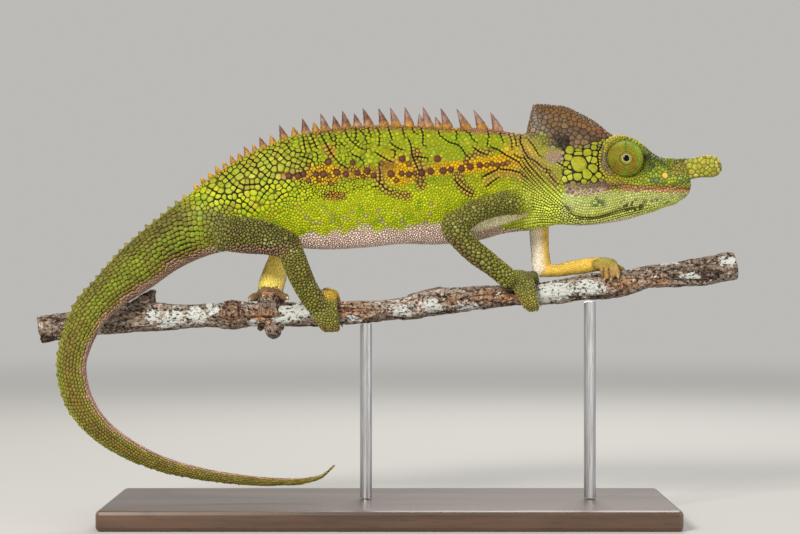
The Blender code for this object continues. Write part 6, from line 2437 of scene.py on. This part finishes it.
# Lights: place and what it points at, in metres, then size and colour.
LIGHTS = (
    ("key", (-0.34, -0.60, 0.44), (0.0, 0.0, 0.07), 0.18, (1.0, 0.97, 0.92)),
    ("fill", (0.50, -0.45, 0.16), (0.0, 0.0, 0.07), 0.35, (0.95, 0.97, 1.0)),
    ("rim", (0.10, 0.42, 0.42), (0.0, 0.0, 0.08), 0.25, (1.0, 1.0, 1.0)),
)
FLOOR_RADII = (120, 240, 400, 700, 1200, 3000, 12000)
FLOOR_SIDES = 64
WORLD_STRENGTH = 0.75
FLOOR_SHADE = 0.78


class CHAMELEON_OT_stage(bpy.types.Operator):
    """Sets the floor, the soft studio lights, the surroundings and the camera"""

    bl_idname = "chameleon.stage"
    bl_label = "Stage"

    def execute(self, context):
        scene = context.scene
        sizes, colours = scene.chameleon_sizes, scene.chameleon_colours
        scene.view_settings.view_transform = "Standard"
        floor = new_object("floor", mesh_from("floor", *ring_floor()))
        floor.data.materials.append(floor_material("Studio floor"))
        world = bpy.data.worlds.new("Studio")
        world.use_nodes = True
        shader = world.node_tree.nodes["Background"]
        shader.inputs["Color"].default_value = tuple(colours.floor)
        shader.inputs["Strength"].default_value = WORLD_STRENGTH
        scene.world = world
        for name, place, target, size, colour in LIGHTS:
            lamp = bpy.data.lights.new(name, "AREA")
            lamp.size, lamp.color = size, colour
            lamp.energy = getattr(sizes, f"{name}_power")
            obj = new_object(name, lamp)
            obj.location = place
            obj.rotation_euler = (Vector(target) - Vector(place)).to_track_quat("-Z", "Y").to_euler()
        camera = bpy.data.cameras.new("camera")
        camera.lens = sizes.lens
        camera.sensor_width = SENSOR_WIDTH
        camera.clip_start = 0.01
        obj = new_object("camera", camera)
        obj.location = tuple(v * MM for v in CAMERA_PLACE)
        obj.rotation_euler = (math.radians(90), 0, 0)
        scene.camera = obj
        return {"FINISHED"}


def ring_floor():
    """Points and faces of a round floor in rings."""
    sides, turn = FLOOR_SIDES, turns(FLOOR_SIDES)
    flat = np.stack([np.cos(turn), np.sin(turn), 0 * turn], axis=1)
    points = np.concatenate([np.zeros((1, 3))] + [flat * radius for radius in FLOOR_RADII])
    faces = [(0, 1 + k, 1 + (k + 1) % sides) for k in range(sides)]
    for a in range(1, len(points) - sides, sides):
        b = a + sides
        faces.extend((a + k, b + k, b + (k + 1) % sides, a + (k + 1) % sides) for k in range(sides))
    return points, faces


def floor_material(name):
    """Matt pale floor that melts into the surroundings far away."""
    m = Mat(name)
    colour = tuple(bpy.context.scene.chameleon_colours.floor)
    grain = m.noise(400, 4)
    colour_near = tuple(v * FLOOR_SHADE for v in colour[:3]) + (1.0,)
    darker = tuple(v * 0.96 for v in colour_near[:3]) + (1.0,)
    matt = m.node(
        "ShaderNodeBsdfPrincipled", Base_Color=m.mix(grain, colour_near, darker), Roughness=0.85,
        Specular_IOR_Level=0.2, Normal=m.bump(grain, 0.0001, 0.3),
    )
    glow = m.node("ShaderNodeEmission", Color=colour, Strength=WORLD_STRENGTH)
    far = m.sock(m.node("ShaderNodeVectorMath", {"operation": "LENGTH"}, _0=m.place()), "Value")
    near_to_far = m.spread(far, 0.25, 1.1)
    mixed = m.node("ShaderNodeMixShader", _0=near_to_far, _1=m.sock(matt), _2=m.sock(glow))
    m.tree.links.new(mixed.outputs[0], m.output.inputs["Surface"])
    return m.material


class CHAMELEON_PT_looks(bpy.types.Panel):
    """Lists the steps that dress the model, with their sizes and colours"""

    bl_idname = "CHAMELEON_PT_looks"
    bl_label = "Chameleon"
    bl_space_type = "VIEW_3D"
    bl_region_type = "UI"
    bl_category = "Chameleon"

    def draw(self, context):
        layout = self.layout
        for kind in OPERATORS:
            layout.operator(kind.bl_idname)
        for group in (context.scene.chameleon_sizes, context.scene.chameleon_colours):
            for name in type(group).__annotations__:
                layout.prop(group, name)


OPERATORS = [
    CHAMELEON_OT_skin, CHAMELEON_OT_scales, CHAMELEON_OT_horn, CHAMELEON_OT_eyes, CHAMELEON_OT_crest,
    CHAMELEON_OT_claws, CHAMELEON_OT_branch, CHAMELEON_OT_stand, CHAMELEON_OT_stage,
]
CLASSES = [ChameleonSizes, ChameleonColours, *OPERATORS, CHAMELEON_PT_looks]


def register():
    for kind in CLASSES:
        bpy.utils.register_class(kind)
    bpy.types.Scene.chameleon_sizes = PointerProperty(type=ChameleonSizes)
    bpy.types.Scene.chameleon_colours = PointerProperty(type=ChameleonColours)


def unregister():
    del bpy.types.Scene.chameleon_sizes
    del bpy.types.Scene.chameleon_colours
    for kind in reversed(CLASSES):
        bpy.utils.unregister_class(kind)


def main():
    register()
    for kind in OPERATORS:
        group, name = kind.bl_idname.split(".")
        getattr(getattr(bpy.ops, group), name)()


if __name__ == "__main__":
    main()
